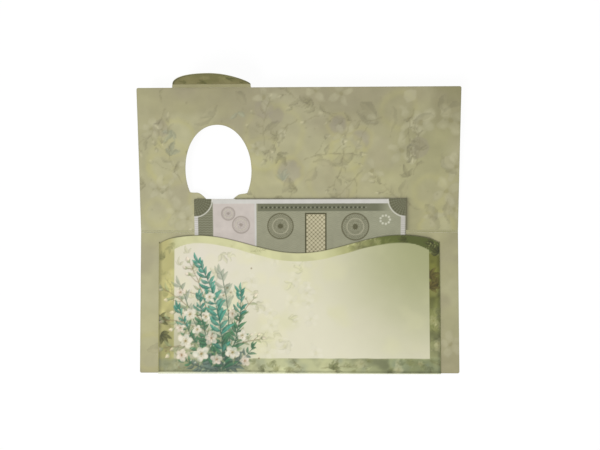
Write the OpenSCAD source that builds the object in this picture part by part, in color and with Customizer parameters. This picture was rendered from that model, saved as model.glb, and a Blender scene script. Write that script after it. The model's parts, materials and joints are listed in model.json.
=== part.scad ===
// Gift card folder: one creased card sheet with a glued pocket, a windowed cover and a tuck tab.
// It lies open on its back. X runs across, Y runs from the pocket to the cover, and Z is up.
// The origin is the middle of the back panel's underside.

/* [Card] */
// Width of the folder
card_w = 225; // [215:1:260]
// Thickness of the laminated card
card_t = 0.35; // [0.25:0.05:0.5]
// Height of the back panel, from the spine's lower crease to the bottom edge
back_h = 99; // [90:1:130]
// Radius of the die-cut corners
corner_r = 1.2; // [0.5:0.1:4]

/* [Pocket] */
// Bare margin of the back panel on each side of the pocket
side_margin = 13; // [8:0.5:14]
// Mean depth of the waved lip below the spine
lip_drop = 8.3; // [8:0.1:20]
// Height of the lip's wave from its middle line
lip_wave = 6.3; // [0:0.1:7]
// Distance between the lip's two crests
lip_pitch = 144; // [100:1:200]
// Radius of the lip's outer corners
lip_corner_r = 2; // [1:0.1:6]
// Width of the glue flaps turned under the pocket
flap_w = 12; // [8:0.5:13]
// How far the glue flaps taper at each end
flap_taper = 6; // [1:0.5:12]
// Clear gap between the glue flaps and the bottom fold
flap_clear = 1.5; // [0.5:0.1:4]
// How far the glue flaps stop below the lip's ends
flap_top_clear = 6.5; // [2:0.5:12]

/* [Glue] */
// Bare margin of a glue flap round its adhesive strip
glue_margin = 2; // [1:0.5:3]
// Thickness of the adhesive
glue_t = 0.1; // [0.05:0.01:0.2]

/* [Slip] */
// Width of the paper slip
slip_w = 150; // [100:1:155]
// Height of the paper slip
slip_h = 66; // [55:1:90]
// Thickness of the paper slip
slip_t = 0.2; // [0.1:0.05:0.3]
// How much of the slip lies on the cover
slip_out = 22.6; // [8:0.1:24]

/* [Cover] */
// Height left for air over the pocket when the cover is closed
closed_gap = 0.15; // [0.1:0.05:1]
// How far the cover leans up from flat at rest, in degrees
cover_lift = 9; // [0:0.5:20]
// Clear gap between the wrapped tab and the bottom fold when closed
wrap_gap = 0.25; // [0.2:0.05:1]

/* [Window] */
// Width of the oval window
window_w = 46.1; // [30:0.1:50]
// Height that the window's oval has without its cut bottom
window_h = 64; // [50:0.5:68]
// Distance from the cover's left edge to the window's middle
window_side = 56.1; // [35:0.1:112]
// Distance from the spine to the window's middle
window_y = 42.7; // [40:0.1:50]
// Distance from the oval's middle down to its two shoulders
shoulder_drop = 15.4; // [12:0.1:18]
// Width of the narrow throat between the shoulders
throat_w = 31; // [20:0.1:34]
// Depth of the pointed arch below the shoulders
arch_h = 11.2; // [6:0.1:13]

/* [Tab] */
// Width of the tuck tab at its base
tab_w = 54.8; // [30:0.1:70]
// Length of the tuck tab from the cover's edge to its tip
tab_len = 18; // [12:0.5:30]
// Distance from the cover's left edge to the tab's middle
tab_side = 52.3; // [42:0.1:112]
// How far the tongue stands up from the cover at rest, in degrees
tongue_lift = 68; // [0:1:85]
// Clear gap between the tucked tongue and the back panel
tuck_gap = 0.55; // [0.3:0.05:1.5]

/* [Creases] */
// Running gap round each crease
crease_gap = 0.02; // [0.01:0.01:0.05]

/* [Hidden] */

// Stack of the glued pocket, from the table up: back, adhesive, flap, front
flap_z = card_t + glue_t;
front_z = flap_z + card_t;
stack_h = front_z + card_t;
bottom_r = stack_h / 2;

// The creases are round beads in the middle of the sheet, and panels end just short of them
crease_r = card_t / 2;
panel_gap = crease_r + crease_gap;
spine_w = stack_h + slip_t + closed_gap;
cover_h = back_h + bottom_r + wrap_gap + crease_r;
strip_h = spine_w + card_t + tuck_gap;

// Width of the pocket over its side folds, and of its flat front between them
pocket_w = card_w - 2 * side_margin;
front_w = pocket_w - 2 * card_t;

// Places along X
window_x = window_side - card_w / 2;
tab_x = tab_side - card_w / 2;

// Places along Y
spine_y = back_h / 2;
bottom_y = -back_h / 2;
lip_end_y = lip_y(front_w / 2);
flap_low = bottom_y + flap_clear;
flap_high = lip_end_y - flap_top_clear;
glue_low = flap_low + flap_taper + glue_margin;
glue_high = flap_high - flap_taper - glue_margin;

// The slip is cut where it crosses the spine, this far short of each crease
slip_clear = 0.5;
slip_tucked = slip_h - slip_out - spine_w;
tab_half = tab_w / 2;

// Steps of the drawn curves
corner_steps = 6;
lip_steps = 72;
oval_steps = 48;
arch_steps = 10;
tab_steps = 40;
$fn = 48;

card_inner = "#b4b18e";
card_print = "#a5a878";
crease_tone = "#a09c70";
glue_tone = "#e6e2c8";
paper_tone = "#cdcbc4";

// Height of the waved lip at x: a cosine with crests either side of the middle, rounded off at the ends
function lip_y(x) =
    spine_y - lip_drop - lip_wave * cos(360 * x / lip_pitch) - lip_end(abs(x) - pocket_w / 2 + lip_corner_r);

// Drop of the lip inside its corner radius, where u is the distance into the corner
function lip_end(u) =
    u <= 0 ? 0 : lip_corner_r - sqrt(pow(lip_corner_r, 2) - pow(min(u, lip_corner_r), 2));

// Quarter arc about [x, y], from angle a on
function corner(x, y, r, a) =
    [for (i = [0 : corner_steps]) [x + r * cos(a + 90 * i / corner_steps), y + r * sin(a + 90 * i / corner_steps)]];

// Half width of the tuck tab at a distance v beyond the cover's edge
function tab_reach(v) = tab_half * sqrt(max(0, 1 - pow(v / tab_len, 2)));

// Angle at which the window's oval reaches its shoulders
shoulder_a = asin(-shoulder_drop / (window_h / 2));

// Outline of the window about the oval's middle: the oval above the shoulders and a pointed arch below
window_oval = [
    for (i = [0 : oval_steps])
        let (a = shoulder_a + (180 - 2 * shoulder_a) * i / oval_steps)
        [window_w / 2 * cos(a), window_h / 2 * sin(a)]
];
window_arch = [
    for (i = [0 : 2 * arch_steps])
        let (u = i / arch_steps - 1)
        [throat_w / 2 * u, -shoulder_drop - arch_h * pow(cos(90 * abs(u)), 1.4)]
];

// Places of the moving panels: the Y axis of each runs away from its crease, and Z is the sheet's normal
module on_spine() {
    translate([0, spine_y, crease_r]) rotate([cover_lift / 2, 0, 0]) children();
}

module on_cover() {
    on_spine() translate([0, spine_w, 0]) rotate([cover_lift / 2, 0, 0]) children();
}

module on_tab() {
    on_cover() translate([tab_x, cover_h, 0]) children();
}

module on_tongue() {
    on_tab() translate([0, strip_h, 0]) rotate([tongue_lift, 0, 0]) children();
}

// A flat piece of sheet, centred on its middle plane
module sheet(t) {
    translate([0, 0, -t / 2]) linear_extrude(t) children();
}

// A round crease along X, w long
module crease(w) {
    color(crease_tone) rotate([0, 90, 0]) cylinder(r = crease_r, h = w, center = true);
}

module back_panel() {
    x = card_w / 2 - corner_r;
    y = bottom_y + corner_r;
    top = spine_y - panel_gap;
    outline = concat(corner(-x, y, corner_r, 180), corner(x, y, corner_r, 270),
                     [[card_w / 2, top], [-card_w / 2, top]]);
    color(card_inner) linear_extrude(card_t) polygon(outline);
}

module pocket_front() {
    lip = [for (i = [0 : lip_steps]) let (x = front_w * (0.5 - i / lip_steps)) [x, lip_y(x)]];
    outline = concat([[-front_w / 2, bottom_y], [front_w / 2, bottom_y]], lip);
    color(card_print) translate([0, 0, front_z]) linear_extrude(card_t) polygon(outline);
}

// Half a tube that carries the sheet round from the back panel to the pocket front
module pocket_bottom_fold() {
    color(card_print) translate([0, bottom_y, bottom_r]) rotate([0, 90, 0]) intersection() {
        difference() {
            cylinder(r = bottom_r, h = pocket_w, center = true);
            cylinder(r = bottom_r - card_t, h = pocket_w + 1, center = true);
        }
        translate([0, -bottom_r, 0]) cube([3 * bottom_r, 2 * bottom_r, pocket_w + 1], center = true);
    }
}

// Half-round fold at the pocket's side. side is -1 for left and 1 for right
module side_fold(side) {
    len = lip_end_y - flap_low;
    color(card_print) translate([side * front_w / 2, flap_low, front_z]) rotate([-90, 0, 0]) intersection() {
        cylinder(r = card_t, h = len);
        translate([side * card_t, 0, len / 2]) cube([2 * card_t, 3 * card_t, len + 1], center = true);
    }
}

module left_side_fold() {
    side_fold(-1);
}

module right_side_fold() {
    side_fold(1);
}

// Tapered flap turned under the pocket front. side is -1 for left and 1 for right
module glue_flap(side) {
    outer = side * front_w / 2;
    inner = outer - side * flap_w;
    outline = [[outer, flap_low], [outer, flap_high], [inner, flap_high - flap_taper], [inner, flap_low + flap_taper]];
    color(card_inner) translate([0, 0, flap_z]) linear_extrude(card_t) polygon(outline);
}

module left_glue_flap() {
    glue_flap(-1);
}

module right_glue_flap() {
    glue_flap(1);
}

// Adhesive strip in the middle of a glue flap. side is -1 for left and 1 for right
module glue_strip(side) {
    x = side * (front_w - flap_w) / 2;
    y = (glue_low + glue_high) / 2;
    color(glue_tone) translate([x, y, card_t + glue_t / 2])
        cube([flap_w - 2 * glue_margin, glue_high - glue_low, glue_t], center = true);
}

module left_glue_strip() {
    glue_strip(-1);
}

module right_glue_strip() {
    glue_strip(1);
}

module slip_tucked_part() {
    len = slip_tucked - slip_clear;
    color(paper_tone) translate([-slip_w / 2, spine_y - slip_tucked, card_t]) cube([slip_w, len, slip_t]);
}

module spine_lower_crease() {
    translate([0, spine_y, crease_r]) crease(card_w);
}

module spine_strip() {
    color(card_inner) on_spine() translate([-card_w / 2, panel_gap, -crease_r])
        cube([card_w, spine_w - 2 * panel_gap, card_t]);
}

module spine_upper_crease() {
    on_spine() translate([0, spine_w, 0]) crease(card_w);
}

module cover_panel() {
    x = card_w / 2 - corner_r;
    y = cover_h - corner_r;
    outline = concat([[-card_w / 2, panel_gap], [card_w / 2, panel_gap]],
                     corner(x, y, corner_r, 0), corner(-x, y, corner_r, 90));
    color(card_inner) on_cover() sheet(card_t) difference() {
        polygon(outline);
        translate([window_x, window_y]) polygon(concat(window_oval, window_arch));
        translate([tab_x - tab_half, cover_h - panel_gap]) square([tab_w, 2 * panel_gap]);
    }
}

module slip_raised_part() {
    color(paper_tone) on_cover() translate([-slip_w / 2, slip_clear, crease_r])
        cube([slip_w, slip_out - slip_clear, slip_t]);
}

module tab_base_crease() {
    on_tab() crease(tab_w);
}

module tab_strip() {
    low = panel_gap;
    high = strip_h - panel_gap;
    outline = [[-tab_reach(low), low], [tab_reach(low), low], [tab_reach(high), high], [-tab_reach(high), high]];
    color(card_inner) on_tab() sheet(card_t) polygon(outline);
}

module tongue_crease() {
    on_tab() translate([0, strip_h, 0]) crease(2 * tab_reach(strip_h));
}

// The half oval beyond the strip, drawn about the tongue's crease
module tab_tongue() {
    low = strip_h + panel_gap;
    start = asin(low / tab_len);
    outline = [
        for (i = [0 : tab_steps])
            let (a = start + (180 - 2 * start) * i / tab_steps)
            [tab_half * cos(a), tab_len * sin(a) - strip_h]
    ];
    color(card_print) on_tongue() sheet(card_t) polygon(outline);
}

back_panel();
pocket_front();
pocket_bottom_fold();
left_side_fold();
right_side_fold();
left_glue_flap();
right_glue_flap();
left_glue_strip();
right_glue_strip();
slip_tucked_part();
spine_lower_crease();
spine_strip();
spine_upper_crease();
cover_panel();
slip_raised_part();
tab_base_crease();
tab_strip();
tongue_crease();
tab_tongue();
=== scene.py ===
"""Looks of a printed gift folder: card with a pocket, a windowed cover and a tuck tab, and a paper slip.

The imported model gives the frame, the hinges and the solids. Each sub-assembly below is a class that works
out its sheets as whole-array surfaces, paints their print as a colour attribute and dresses them. Sizes are
in millimetres until a mesh is made, and the meshes are in metres.
"""

from __future__ import annotations

import json
import logging
import math
from dataclasses import dataclass, field, replace
from enum import Enum
from typing import Sequence

import bpy
import numpy as np
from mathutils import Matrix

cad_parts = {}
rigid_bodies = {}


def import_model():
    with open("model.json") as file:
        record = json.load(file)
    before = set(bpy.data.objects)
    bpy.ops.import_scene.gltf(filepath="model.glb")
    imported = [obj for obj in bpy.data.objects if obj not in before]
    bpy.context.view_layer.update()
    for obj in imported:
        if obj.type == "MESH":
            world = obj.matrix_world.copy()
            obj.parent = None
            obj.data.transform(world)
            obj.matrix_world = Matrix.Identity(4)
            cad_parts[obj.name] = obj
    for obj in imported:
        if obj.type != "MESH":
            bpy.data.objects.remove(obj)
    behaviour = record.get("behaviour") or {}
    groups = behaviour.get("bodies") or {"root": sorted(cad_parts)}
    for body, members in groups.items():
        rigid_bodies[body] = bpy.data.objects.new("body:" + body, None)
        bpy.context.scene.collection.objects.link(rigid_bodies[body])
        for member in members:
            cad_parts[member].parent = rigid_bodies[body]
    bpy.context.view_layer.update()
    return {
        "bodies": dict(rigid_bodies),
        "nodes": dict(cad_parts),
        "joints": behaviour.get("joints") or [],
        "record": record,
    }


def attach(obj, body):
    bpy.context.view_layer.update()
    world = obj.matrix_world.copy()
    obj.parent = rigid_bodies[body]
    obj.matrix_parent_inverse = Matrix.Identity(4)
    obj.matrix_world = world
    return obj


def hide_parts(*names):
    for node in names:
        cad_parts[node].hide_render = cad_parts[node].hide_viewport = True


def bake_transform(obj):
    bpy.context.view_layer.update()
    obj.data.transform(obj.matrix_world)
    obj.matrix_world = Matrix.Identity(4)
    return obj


log = logging.getLogger("gift_folder")

MM = 0.001
# The colour attribute holds the print together with painted shade, painted shadows and a painted highlight.
PRINT = "print"

Array = np.ndarray
Point = tuple[float, float]
Colour = tuple[float, float, float]


class Slot(Enum):
    """Material slots of the record that the pieces take their finish from."""

    INNER = "inner_card"
    PRINTED = "printed_card"
    PAPER = "slip_paper"


class Body(Enum):
    """Bodies of the frame that the pieces ride on."""

    ROOT = "root"
    SPINE = "spine"
    COVER = "cover"
    TONGUE = "tongue"


@dataclass(frozen=True)
class CardSizes:
    """Sizes of the card blank in millimetres, the same as the solids have."""

    width: float = 225.0
    thick: float = 0.35
    back_top: float = 49.305
    back_low: float = -49.5
    corner: float = 1.2
    spine_y: float = 49.5
    gap: float = 0.195
    front_half: float = 99.15
    fold_half: float = 99.5
    fold_r: float = 0.575
    front_z: float = 0.8
    cover_h: float = 100.0
    open_spine: float = 100.0


@dataclass(frozen=True)
class LipSizes:
    """Sizes of the pocket's waved lip in millimetres. The sag of its ends is finer than the solids show."""

    wave: float = 144.0
    swing: float = 6.3
    drop: float = 8.3
    radius: float = 2.0
    sag: float = 1.3
    sag_reach: float = 8.0


CARD = CardSizes()
LIP = LipSizes()


def smooth(t: Array) -> Array:
    """Returns 3t2 - 2t3 with t held between 0 and 1."""
    t = np.clip(t, 0.0, 1.0)
    return t * t * (3.0 - 2.0 * t)


def rise(t: Array, start: float, width: float) -> Array:
    """Returns a smooth step from 0 at start to 1 at start + width, where width may be less than 0."""
    return smooth((t - start) / width)


def soft_edge(t: Array, at: float, width: float) -> Array:
    """Returns a smooth step of that width about at: 0 below and 1 above, turned round if width is below 0."""
    return smooth((t - at) / width + 0.5)


def bell(t: Array, middle: float, width: float) -> Array:
    """Returns a bell curve: e to the power of minus the square of (t - middle) / width."""
    return np.exp(-(((t - middle) / width) ** 2))


def linear(rgb: Array) -> Array:
    """Returns sRGB values from 0 to 255 as linear values from 0 to 1."""
    c = np.clip(np.asarray(rgb, float) / 255.0, 0.0, 1.0)
    return np.where(c <= 0.04045, c / 12.92, ((c + 0.055) / 1.055) ** 2.4)


def rgba(colour: Colour) -> tuple[float, float, float, float]:
    """Returns one sRGB colour as the linear colour with alpha that a shader socket takes."""
    return (*(float(v) for v in linear(np.array(colour))), 1.0)


def noise(x: Array, y: Array, cell: float, seed: int, octaves: int = 3) -> Array:
    """Returns smooth noise from 0 to 1 at each point.

    Random values sit on a square lattice and smooth steps join them. Each octave halves the cell and the
    weight.

    Args:
        x: Places along X in millimetres.
        y: Places along Y in millimetres.
        cell: Lattice spacing of the first octave in millimetres.
        seed: Seed of the random values.
        octaves: Number of layers.

    Returns:
        The weighted mean of the layers.
    """
    total, weight = np.zeros(np.shape(x)), 0.0
    for k in range(octaves):
        table = np.random.default_rng(seed + k).random((256, 256))
        u, v = x / cell * 2**k + 97.3, y / cell * 2**k + 41.7
        iu, iv = np.floor(u).astype(int), np.floor(v).astype(int)
        fu, fv = smooth(u - iu), smooth(v - iv)
        low = table[iu % 256, iv % 256] * (1 - fu) + table[(iu + 1) % 256, iv % 256] * fu
        high = table[iu % 256, (iv + 1) % 256] * (1 - fu) + table[(iu + 1) % 256, (iv + 1) % 256] * fu
        total += (low * (1 - fv) + high * fv) * 0.5**k
        weight += 0.5**k
    return total / weight


def patches(x: Array, y: Array, cell: float, seed: int, gain: float, cut: float) -> Array:
    """Returns soft patches from 0 to 1: the smooth step of noise of that cell, times gain, less cut."""
    return smooth(noise(x, y, cell, seed) * gain - cut)


def lip_height(x: Array) -> Array:
    """Returns Y of the pocket's waved lip: a cosine with its trough at the middle, rounded at its ends.

    At each end the last stretch turns down on a quarter circle, and a longer one sags, as a handled lip does.
    """
    beyond = np.abs(x) - CARD.fold_half
    into = np.clip(beyond + LIP.radius, 0.0, LIP.radius)
    turn = LIP.radius - np.sqrt(LIP.radius**2 - into**2)
    sag = LIP.sag * smooth((beyond + LIP.sag_reach) / LIP.sag_reach)
    return CARD.spine_y - LIP.drop - LIP.swing * np.cos(2 * np.pi * x / LIP.wave) - turn - sag


def bezier(a: Point, b: Point, c: Point, steps: int = 20) -> Array:
    """Returns points of the quadratic curve from a to c that b pulls: (1-t)^2 a + 2t(1-t) b + t^2 c."""
    t = np.linspace(0, 1, steps + 1)[:, None]
    return (1 - t) ** 2 * np.array(a) + 2 * t * (1 - t) * np.array(b) + t**2 * np.array(c)


def shoot(foot: Point, angle: float, length: float, turn: float) -> Array:
    """Returns the path of a shoot that starts at that angle and bends by turn degrees towards its tip."""
    a, b = math.radians(angle), math.radians(angle + 0.8 * turn)
    middle = (foot[0] + 0.5 * length * math.cos(a), foot[1] + 0.5 * length * math.sin(a))
    return bezier(foot, middle, (foot[0] + length * math.cos(b), foot[1] + length * math.sin(b)))


def heading(a: Array, b: Array) -> float:
    """Returns the direction from a to b in degrees."""
    return math.degrees(math.atan2(b[1] - a[1], b[0] - a[0]))


@dataclass(frozen=True)
class LeafTone:
    """Colours of one kind of leaf, from its foot to its tip."""

    foot: Colour
    tip: Colour
    vein: Colour
    strength: float = 1.0


@dataclass(frozen=True)
class BlossomTone:
    """Colours of one kind of blossom."""

    petal: Colour
    heart: Colour
    shade: Colour
    strength: float = 1.0


class Print:
    """A print on one flat face: an sRGB colour for each point, painted by soft shapes."""

    def __init__(self, x: Array, y: Array, base: Colour, waver: float = 0.0, seed: int = 0) -> None:
        """Starts a plain print.

        Args:
            x: Places of the points along X in millimetres.
            y: Places of the points along Y in millimetres.
            base: Colour of the bare sheet.
            waver: How far the outlines of motifs stray, so that they look painted by hand, in millimetres.
            seed: Seed of the straying and of the patchy ink.
        """
        self.x, self.y = np.asarray(x, float), np.asarray(y, float)
        self.rgb = np.tile(np.array(base, float), (self.x.size, 1))
        self.drawn_x = self.x + waver * (2 * noise(self.x, self.y, 3.2, seed + 101, 2) - 1)
        self.drawn_y = self.y + waver * (2 * noise(self.x, self.y, 3.2, seed + 202, 2) - 1)
        self.ink = 0.74 + 0.26 * smooth(noise(self.x, self.y, 2.4, seed + 303, 2) * 2.6 - 0.8)

    def wash(self, mask: Array, colour: Colour | Array, at: Array | None = None) -> None:
        """Lays a colour over the print.

        Args:
            mask: Strength from 0 to 1 at each point.
            colour: One colour, or one for each point.
            at: Numbers of the points that mask is for, or None for all.
        """
        where = slice(None) if at is None else at
        tone = np.asarray(colour, float)
        self.rgb[where] += (tone - self.rgb[where]) * mask[:, None]

    def washes(self, *layers: tuple[Array, Colour]) -> None:
        """Lays several colours over the print in turn, each by its own mask."""
        for mask, colour in layers:
            self.wash(mask, colour)

    def shade(self, mask: Array, factor: float) -> None:
        """Multiplies the print by factor where mask is 1."""
        self.rgb *= 1 + (factor - 1) * mask[:, None]

    def near(self, cx: float, cy: float, reach: float) -> Array:
        """Returns the numbers of the points in a square of that half side."""
        return np.flatnonzero((np.abs(self.drawn_x - cx) < reach) & (np.abs(self.drawn_y - cy) < reach))

    def leaf(self, foot: Point, angle: float, length: float, width: float, tone: LeafTone) -> None:
        """Paints a pointed leaf with a midrib, one side lighter than the other, and a darker rim.

        At a share s of its length its half width is width/2 times sin(pi s)^0.8 times (1.15 - 0.3 s).

        Args:
            foot: Where the leaf starts.
            angle: Its direction in degrees.
            length: Its length.
            width: Its widest width.
            tone: Its colours.
        """
        ca, sa = math.cos(math.radians(angle)), math.sin(math.radians(angle))
        i = self.near(foot[0] + ca * length / 2, foot[1] + sa * length / 2, length * 0.6 + width)
        if not i.size:
            return
        dx, dy = self.drawn_x[i] - foot[0], self.drawn_y[i] - foot[1]
        s, t = (dx * ca + dy * sa) / length, dy * ca - dx * sa
        t = t - 0.1 * length * np.sin(np.pi * np.clip(s, 0, 1))
        half = 0.5 * width * np.sin(np.pi * np.clip(s, 0.001, 0.999)) ** 0.8 * (1.15 - 0.3 * s)
        inward = half - np.abs(t)
        mask = soft_edge(inward, 0, 0.4) * ((s > 0) & (s < 1)) * tone.strength * self.ink[i]
        share = np.clip(s, 0, 1)[:, None]
        body = np.array(tone.foot) * (1 - share) + np.array(tone.tip) * share
        own = 1 + 0.1 * math.sin(12.9 * foot[0] + 78.2 * foot[1])
        sides = 1 - 0.12 * np.sign(t) * smooth(np.abs(t) / 0.4)
        rim = 1 - 0.16 * bell(inward, 0, 0.3)
        self.wash(mask, body * (own * sides * rim)[:, None], i)
        self.wash(mask * 0.45 * bell(t, 0, 0.2), tone.vein, i)

    def stroke(self, path: Array, width: Point, colour: Colour, strength: float = 1.0) -> None:
        """Paints a line along a path: strength falls with the distance to the nearest of its segments.

        Args:
            path: Points along the line.
            width: Widths at the start and at the end.
            colour: Its colour.
            strength: How strongly it covers.
        """
        centre, reach = (path.min(0) + path.max(0)) / 2, float(np.ptp(path, axis=0).max()) / 2 + 1.0
        i = self.near(centre[0], centre[1], reach)
        if not i.size:
            return
        p = np.stack([self.drawn_x[i], self.drawn_y[i]], 1)[:, None, :]
        a, b = path[None, :-1], path[None, 1:]
        t = np.clip(((p - a) * (b - a)).sum(2) / np.maximum(((b - a) ** 2).sum(2), 1e-9), 0, 1)
        distance = np.linalg.norm(p - a - t[..., None] * (b - a), axis=2)
        k = distance.argmin(1)
        share = (k + t[np.arange(i.size), k]) / (len(path) - 1)
        half = (width[0] * (1 - share) + width[1] * share) / 2
        self.wash(strength * smooth((half - distance.min(1)) / 0.4 + 0.6) * self.ink[i], colour, i)

    def spot(self, cx: float, cy: float, r: float, colour: Colour, strength: float, soft: float) -> None:
        """Paints a round spot whose rim is soft millimetres wide."""
        i = self.near(cx, cy, r + soft)
        rho = np.hypot(self.drawn_x[i] - cx, self.drawn_y[i] - cy)
        self.wash(strength * soft_edge(rho, r, -soft), colour, i)

    def ring(self, cx: float, cy: float, r: float, width: float, colour: Colour, strength: float) -> None:
        """Paints a soft ring of that radius and width."""
        i = self.near(cx, cy, r + 2 * width)
        rho = np.hypot(self.drawn_x[i] - cx, self.drawn_y[i] - cy)
        self.wash(strength * bell(rho, r, width / 2), colour, i)

    def blossom(self, cx: float, cy: float, r: float, turn: float, tone: BlossomTone, petals: int = 5,
                slim: float = 0.41) -> None:
        """Paints an open blossom: overlapping oval petals round a heart with stamens.

        Args:
            cx: Middle along X.
            cy: Middle along Y.
            r: Radius.
            turn: Direction of the first petal in degrees.
            tone: Its colours.
            petals: Number of petals.
            slim: Half width of a petal as a share of the radius.
        """
        i = self.near(cx, cy, r * 1.15)
        if not i.size:
            return
        dx, dy = self.drawn_x[i] - cx, self.drawn_y[i] - cy
        for k in range(petals):
            a = math.radians(turn + 360.0 * k / petals)
            size = 1 + 0.12 * math.sin(2.4 * k + turn)
            u = (dx * math.cos(a) + dy * math.sin(a)) / size
            v = (dy * math.cos(a) - dx * math.sin(a)) / size
            inside = 1 - np.hypot((u - 0.55 * r) / (0.47 * r), v / (slim * r))
            mask = smooth(inside * r / 0.9 + 0.4) * tone.strength * self.ink[i]
            rim = smooth(1 - inside * 2.2)[:, None]
            body = np.array(tone.petal) * (1 - 0.4 * rim) + np.array(tone.shade) * 0.4 * rim
            deep = smooth(1 - np.hypot(u, v) / (0.55 * r))[:, None]
            body = body * (1 - 0.55 * deep) + np.array(tone.shade) * 0.55 * deep
            self.wash(mask, body * (1 - 0.05 * (k % 2)), i)
        self.spot(cx, cy, 0.15 * r, tone.heart, 0.85 * tone.strength, 0.5)
        stamens = 7
        for k in range(stamens):
            a = math.radians(turn + 20 + 360.0 * k / stamens)
            reach = (0.26 + 0.07 * (k % 3)) * r
            at = cx + reach * math.cos(a), cy + reach * math.sin(a)
            self.spot(*at, 0.2, tone.heart, 0.7 * tone.strength, 0.4)

    def bud(self, foot: Point, angle: float, size: float, petal: Colour, sepal: LeafTone) -> None:
        """Paints a closed bud on its sepals, size long."""
        ca, sa = math.cos(math.radians(angle)), math.sin(math.radians(angle))
        base = foot[0] + 0.15 * size * ca, foot[1] + 0.15 * size * sa
        self.leaf(base, angle, size, size * 0.62, LeafTone(petal, petal, petal, sepal.strength))
        for side in (-24, 24):
            self.leaf(foot, angle + side, size * 0.62, size * 0.26, sepal)

    def cluster(self, foot: Point, angle: float, size: float, tone: LeafTone, count: int = 4) -> None:
        """Paints a tuft of leaves that fan out from one place, the middle ones longest."""
        for k in range(count):
            share = k / max(count - 1, 1) - 0.5
            length, width = size * (1.1 - 0.7 * abs(share)), size * (0.3 + 0.06 * (k % 2))
            self.leaf(foot, angle + 105 * share, length, width, tone)

    def branch(self, foot: Point, angle: float, length: float, twig: Colour, leaf: LeafTone, petal: Colour,
               rng: np.random.Generator) -> None:
        """Paints a twig with side shoots that leave it by turns, leaves along it and a bud at each tip.

        Args:
            foot: Where it starts.
            angle: Its first direction in degrees.
            length: Length of the main shoot.
            twig: Colour of the wood.
            leaf: Colours of the leaves, whose strength the whole twig takes.
            petal: Colour of the buds.
            rng: Source of its bends.
        """
        turn = rng.uniform(-40, 40)
        path = shoot(foot, angle, length, turn)
        self.stroke(path, (0.85, 0.35), twig, leaf.strength)
        for k, s in enumerate((0.22, 0.4, 0.56, 0.72, 0.86)):
            at = tuple(path[int(s * (len(path) - 1))])
            ahead, side = angle + turn * s, (-1) ** k * rng.uniform(28, 58)
            if k % 2 == 0:
                side_path = shoot(at, ahead + side, length * 0.4 * (1.15 - s), rng.uniform(-30, 30))
                self.stroke(side_path, (0.6, 0.3), twig, leaf.strength)
                self.bud(tuple(side_path[-1]), ahead + side, 0.11 * length, petal, leaf)
            self.leaf(at, ahead - side, 0.19 * length, 0.06 * length, leaf)
        self.bud(tuple(path[-1]), angle + turn, 0.14 * length, petal, leaf)

    def frond(self, path: Array, pairs: int, length: Point, width: Point, tones: Sequence[LeafTone],
              stem: Colour) -> None:
        """Paints a stem with a leaf on either side at even steps and one at its tip.

        Args:
            path: Points along the stem.
            pairs: Number of leaf pairs.
            length: Leaf length at the foot and at the tip.
            width: Leaf width at the foot and at the tip.
            tones: Leaf colours from the foot to the tip.
            stem: Colour of the stem.
        """
        steps = len(path) - 1
        self.stroke(path, (0.9, 0.35), stem, 0.9)
        for k in range(pairs):
            s = (k + 0.6) / pairs
            j = min(int(s * steps), steps - 1)
            ahead = heading(path[j], path[j + 1])
            tone = tones[min(int(s * len(tones) + 0.35 * math.sin(4.7 * k)), len(tones) - 1)]
            long, wide = (size[0] * (1 - s) + size[1] * s for size in (length, width))
            for side in (-1, 1):
                spread = side * (54 - 22 * s) + 11 * math.sin(5.1 * k + side)
                at = path[j] + (path[j + 1] - path[j]) * (0.25 if side < 0 else 0.75)
                self.leaf(tuple(at), ahead + spread, long * (1 + 0.2 * math.cos(3.3 * k + side)), wide, tone)
        self.leaf(tuple(path[-1]), heading(path[-2], path[-1]), length[1] * 1.1, width[1], tones[-1])

    def mottle(self, cell: float, amount: float, seed: int) -> None:
        """Lightens and darkens the print by up to amount with noise of that cell."""
        self.rgb *= 1 + amount * (2 * noise(self.x, self.y, cell, seed) - 1)[:, None]


OLIVE_LEAF = LeafTone((112, 114, 66), (128, 132, 82), (160, 160, 108), 0.62)
DARK_LEAF = LeafTone((84, 88, 54), (108, 112, 72), (140, 142, 98), 0.72)
PALE_BLOSSOM = BlossomTone((208, 204, 160), (150, 140, 84), (170, 166, 116), 0.6)


def fainter(tone: LeafTone | BlossomTone, weight: float) -> LeafTone | BlossomTone:
    """Returns the tone with its strength multiplied by weight."""
    return replace(tone, strength=tone.strength * weight)


def olive_scatter(sheet: Print, box: tuple[float, float, float, float], count: int, seed: int, weight: float,
                  size: float = 1.0) -> None:
    """Scatters soft leaves, blossoms, twigs and buds over a part of a print.

    Args:
        sheet: The print.
        box: Least and greatest X and least and greatest Y of the part.
        count: Number of motifs.
        seed: Seed of their places.
        weight: How strongly they show, from 0 to 1.
        size: Their scale.
    """
    rng = np.random.default_rng(seed)
    leaf, dark, blossom = (fainter(tone, weight) for tone in (OLIVE_LEAF, DARK_LEAF, PALE_BLOSSOM))
    for k in range(count):
        x, y = rng.uniform(box[0], box[1]), rng.uniform(box[2], box[3])
        turn, scale = rng.uniform(0, 360), size * rng.uniform(0.7, 1.3)
        if k % 5 == 0:
            sheet.blossom(x, y, 4.2 * scale, turn, blossom, 5 + k % 2, rng.uniform(0.3, 0.42))
        elif k % 5 in (1, 3):
            sheet.cluster((x, y), turn, 6.5 * scale, dark if k % 5 == 3 else leaf, 3 + k % 3)
        elif k % 5 == 2:
            sheet.branch((x, y), turn, 15 * scale, (104, 98, 62), leaf, blossom.petal, rng)
        else:
            sheet.spot(x, y, 4.5 * scale, (196, 194, 142), 0.3 * weight, 3.0)


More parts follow.
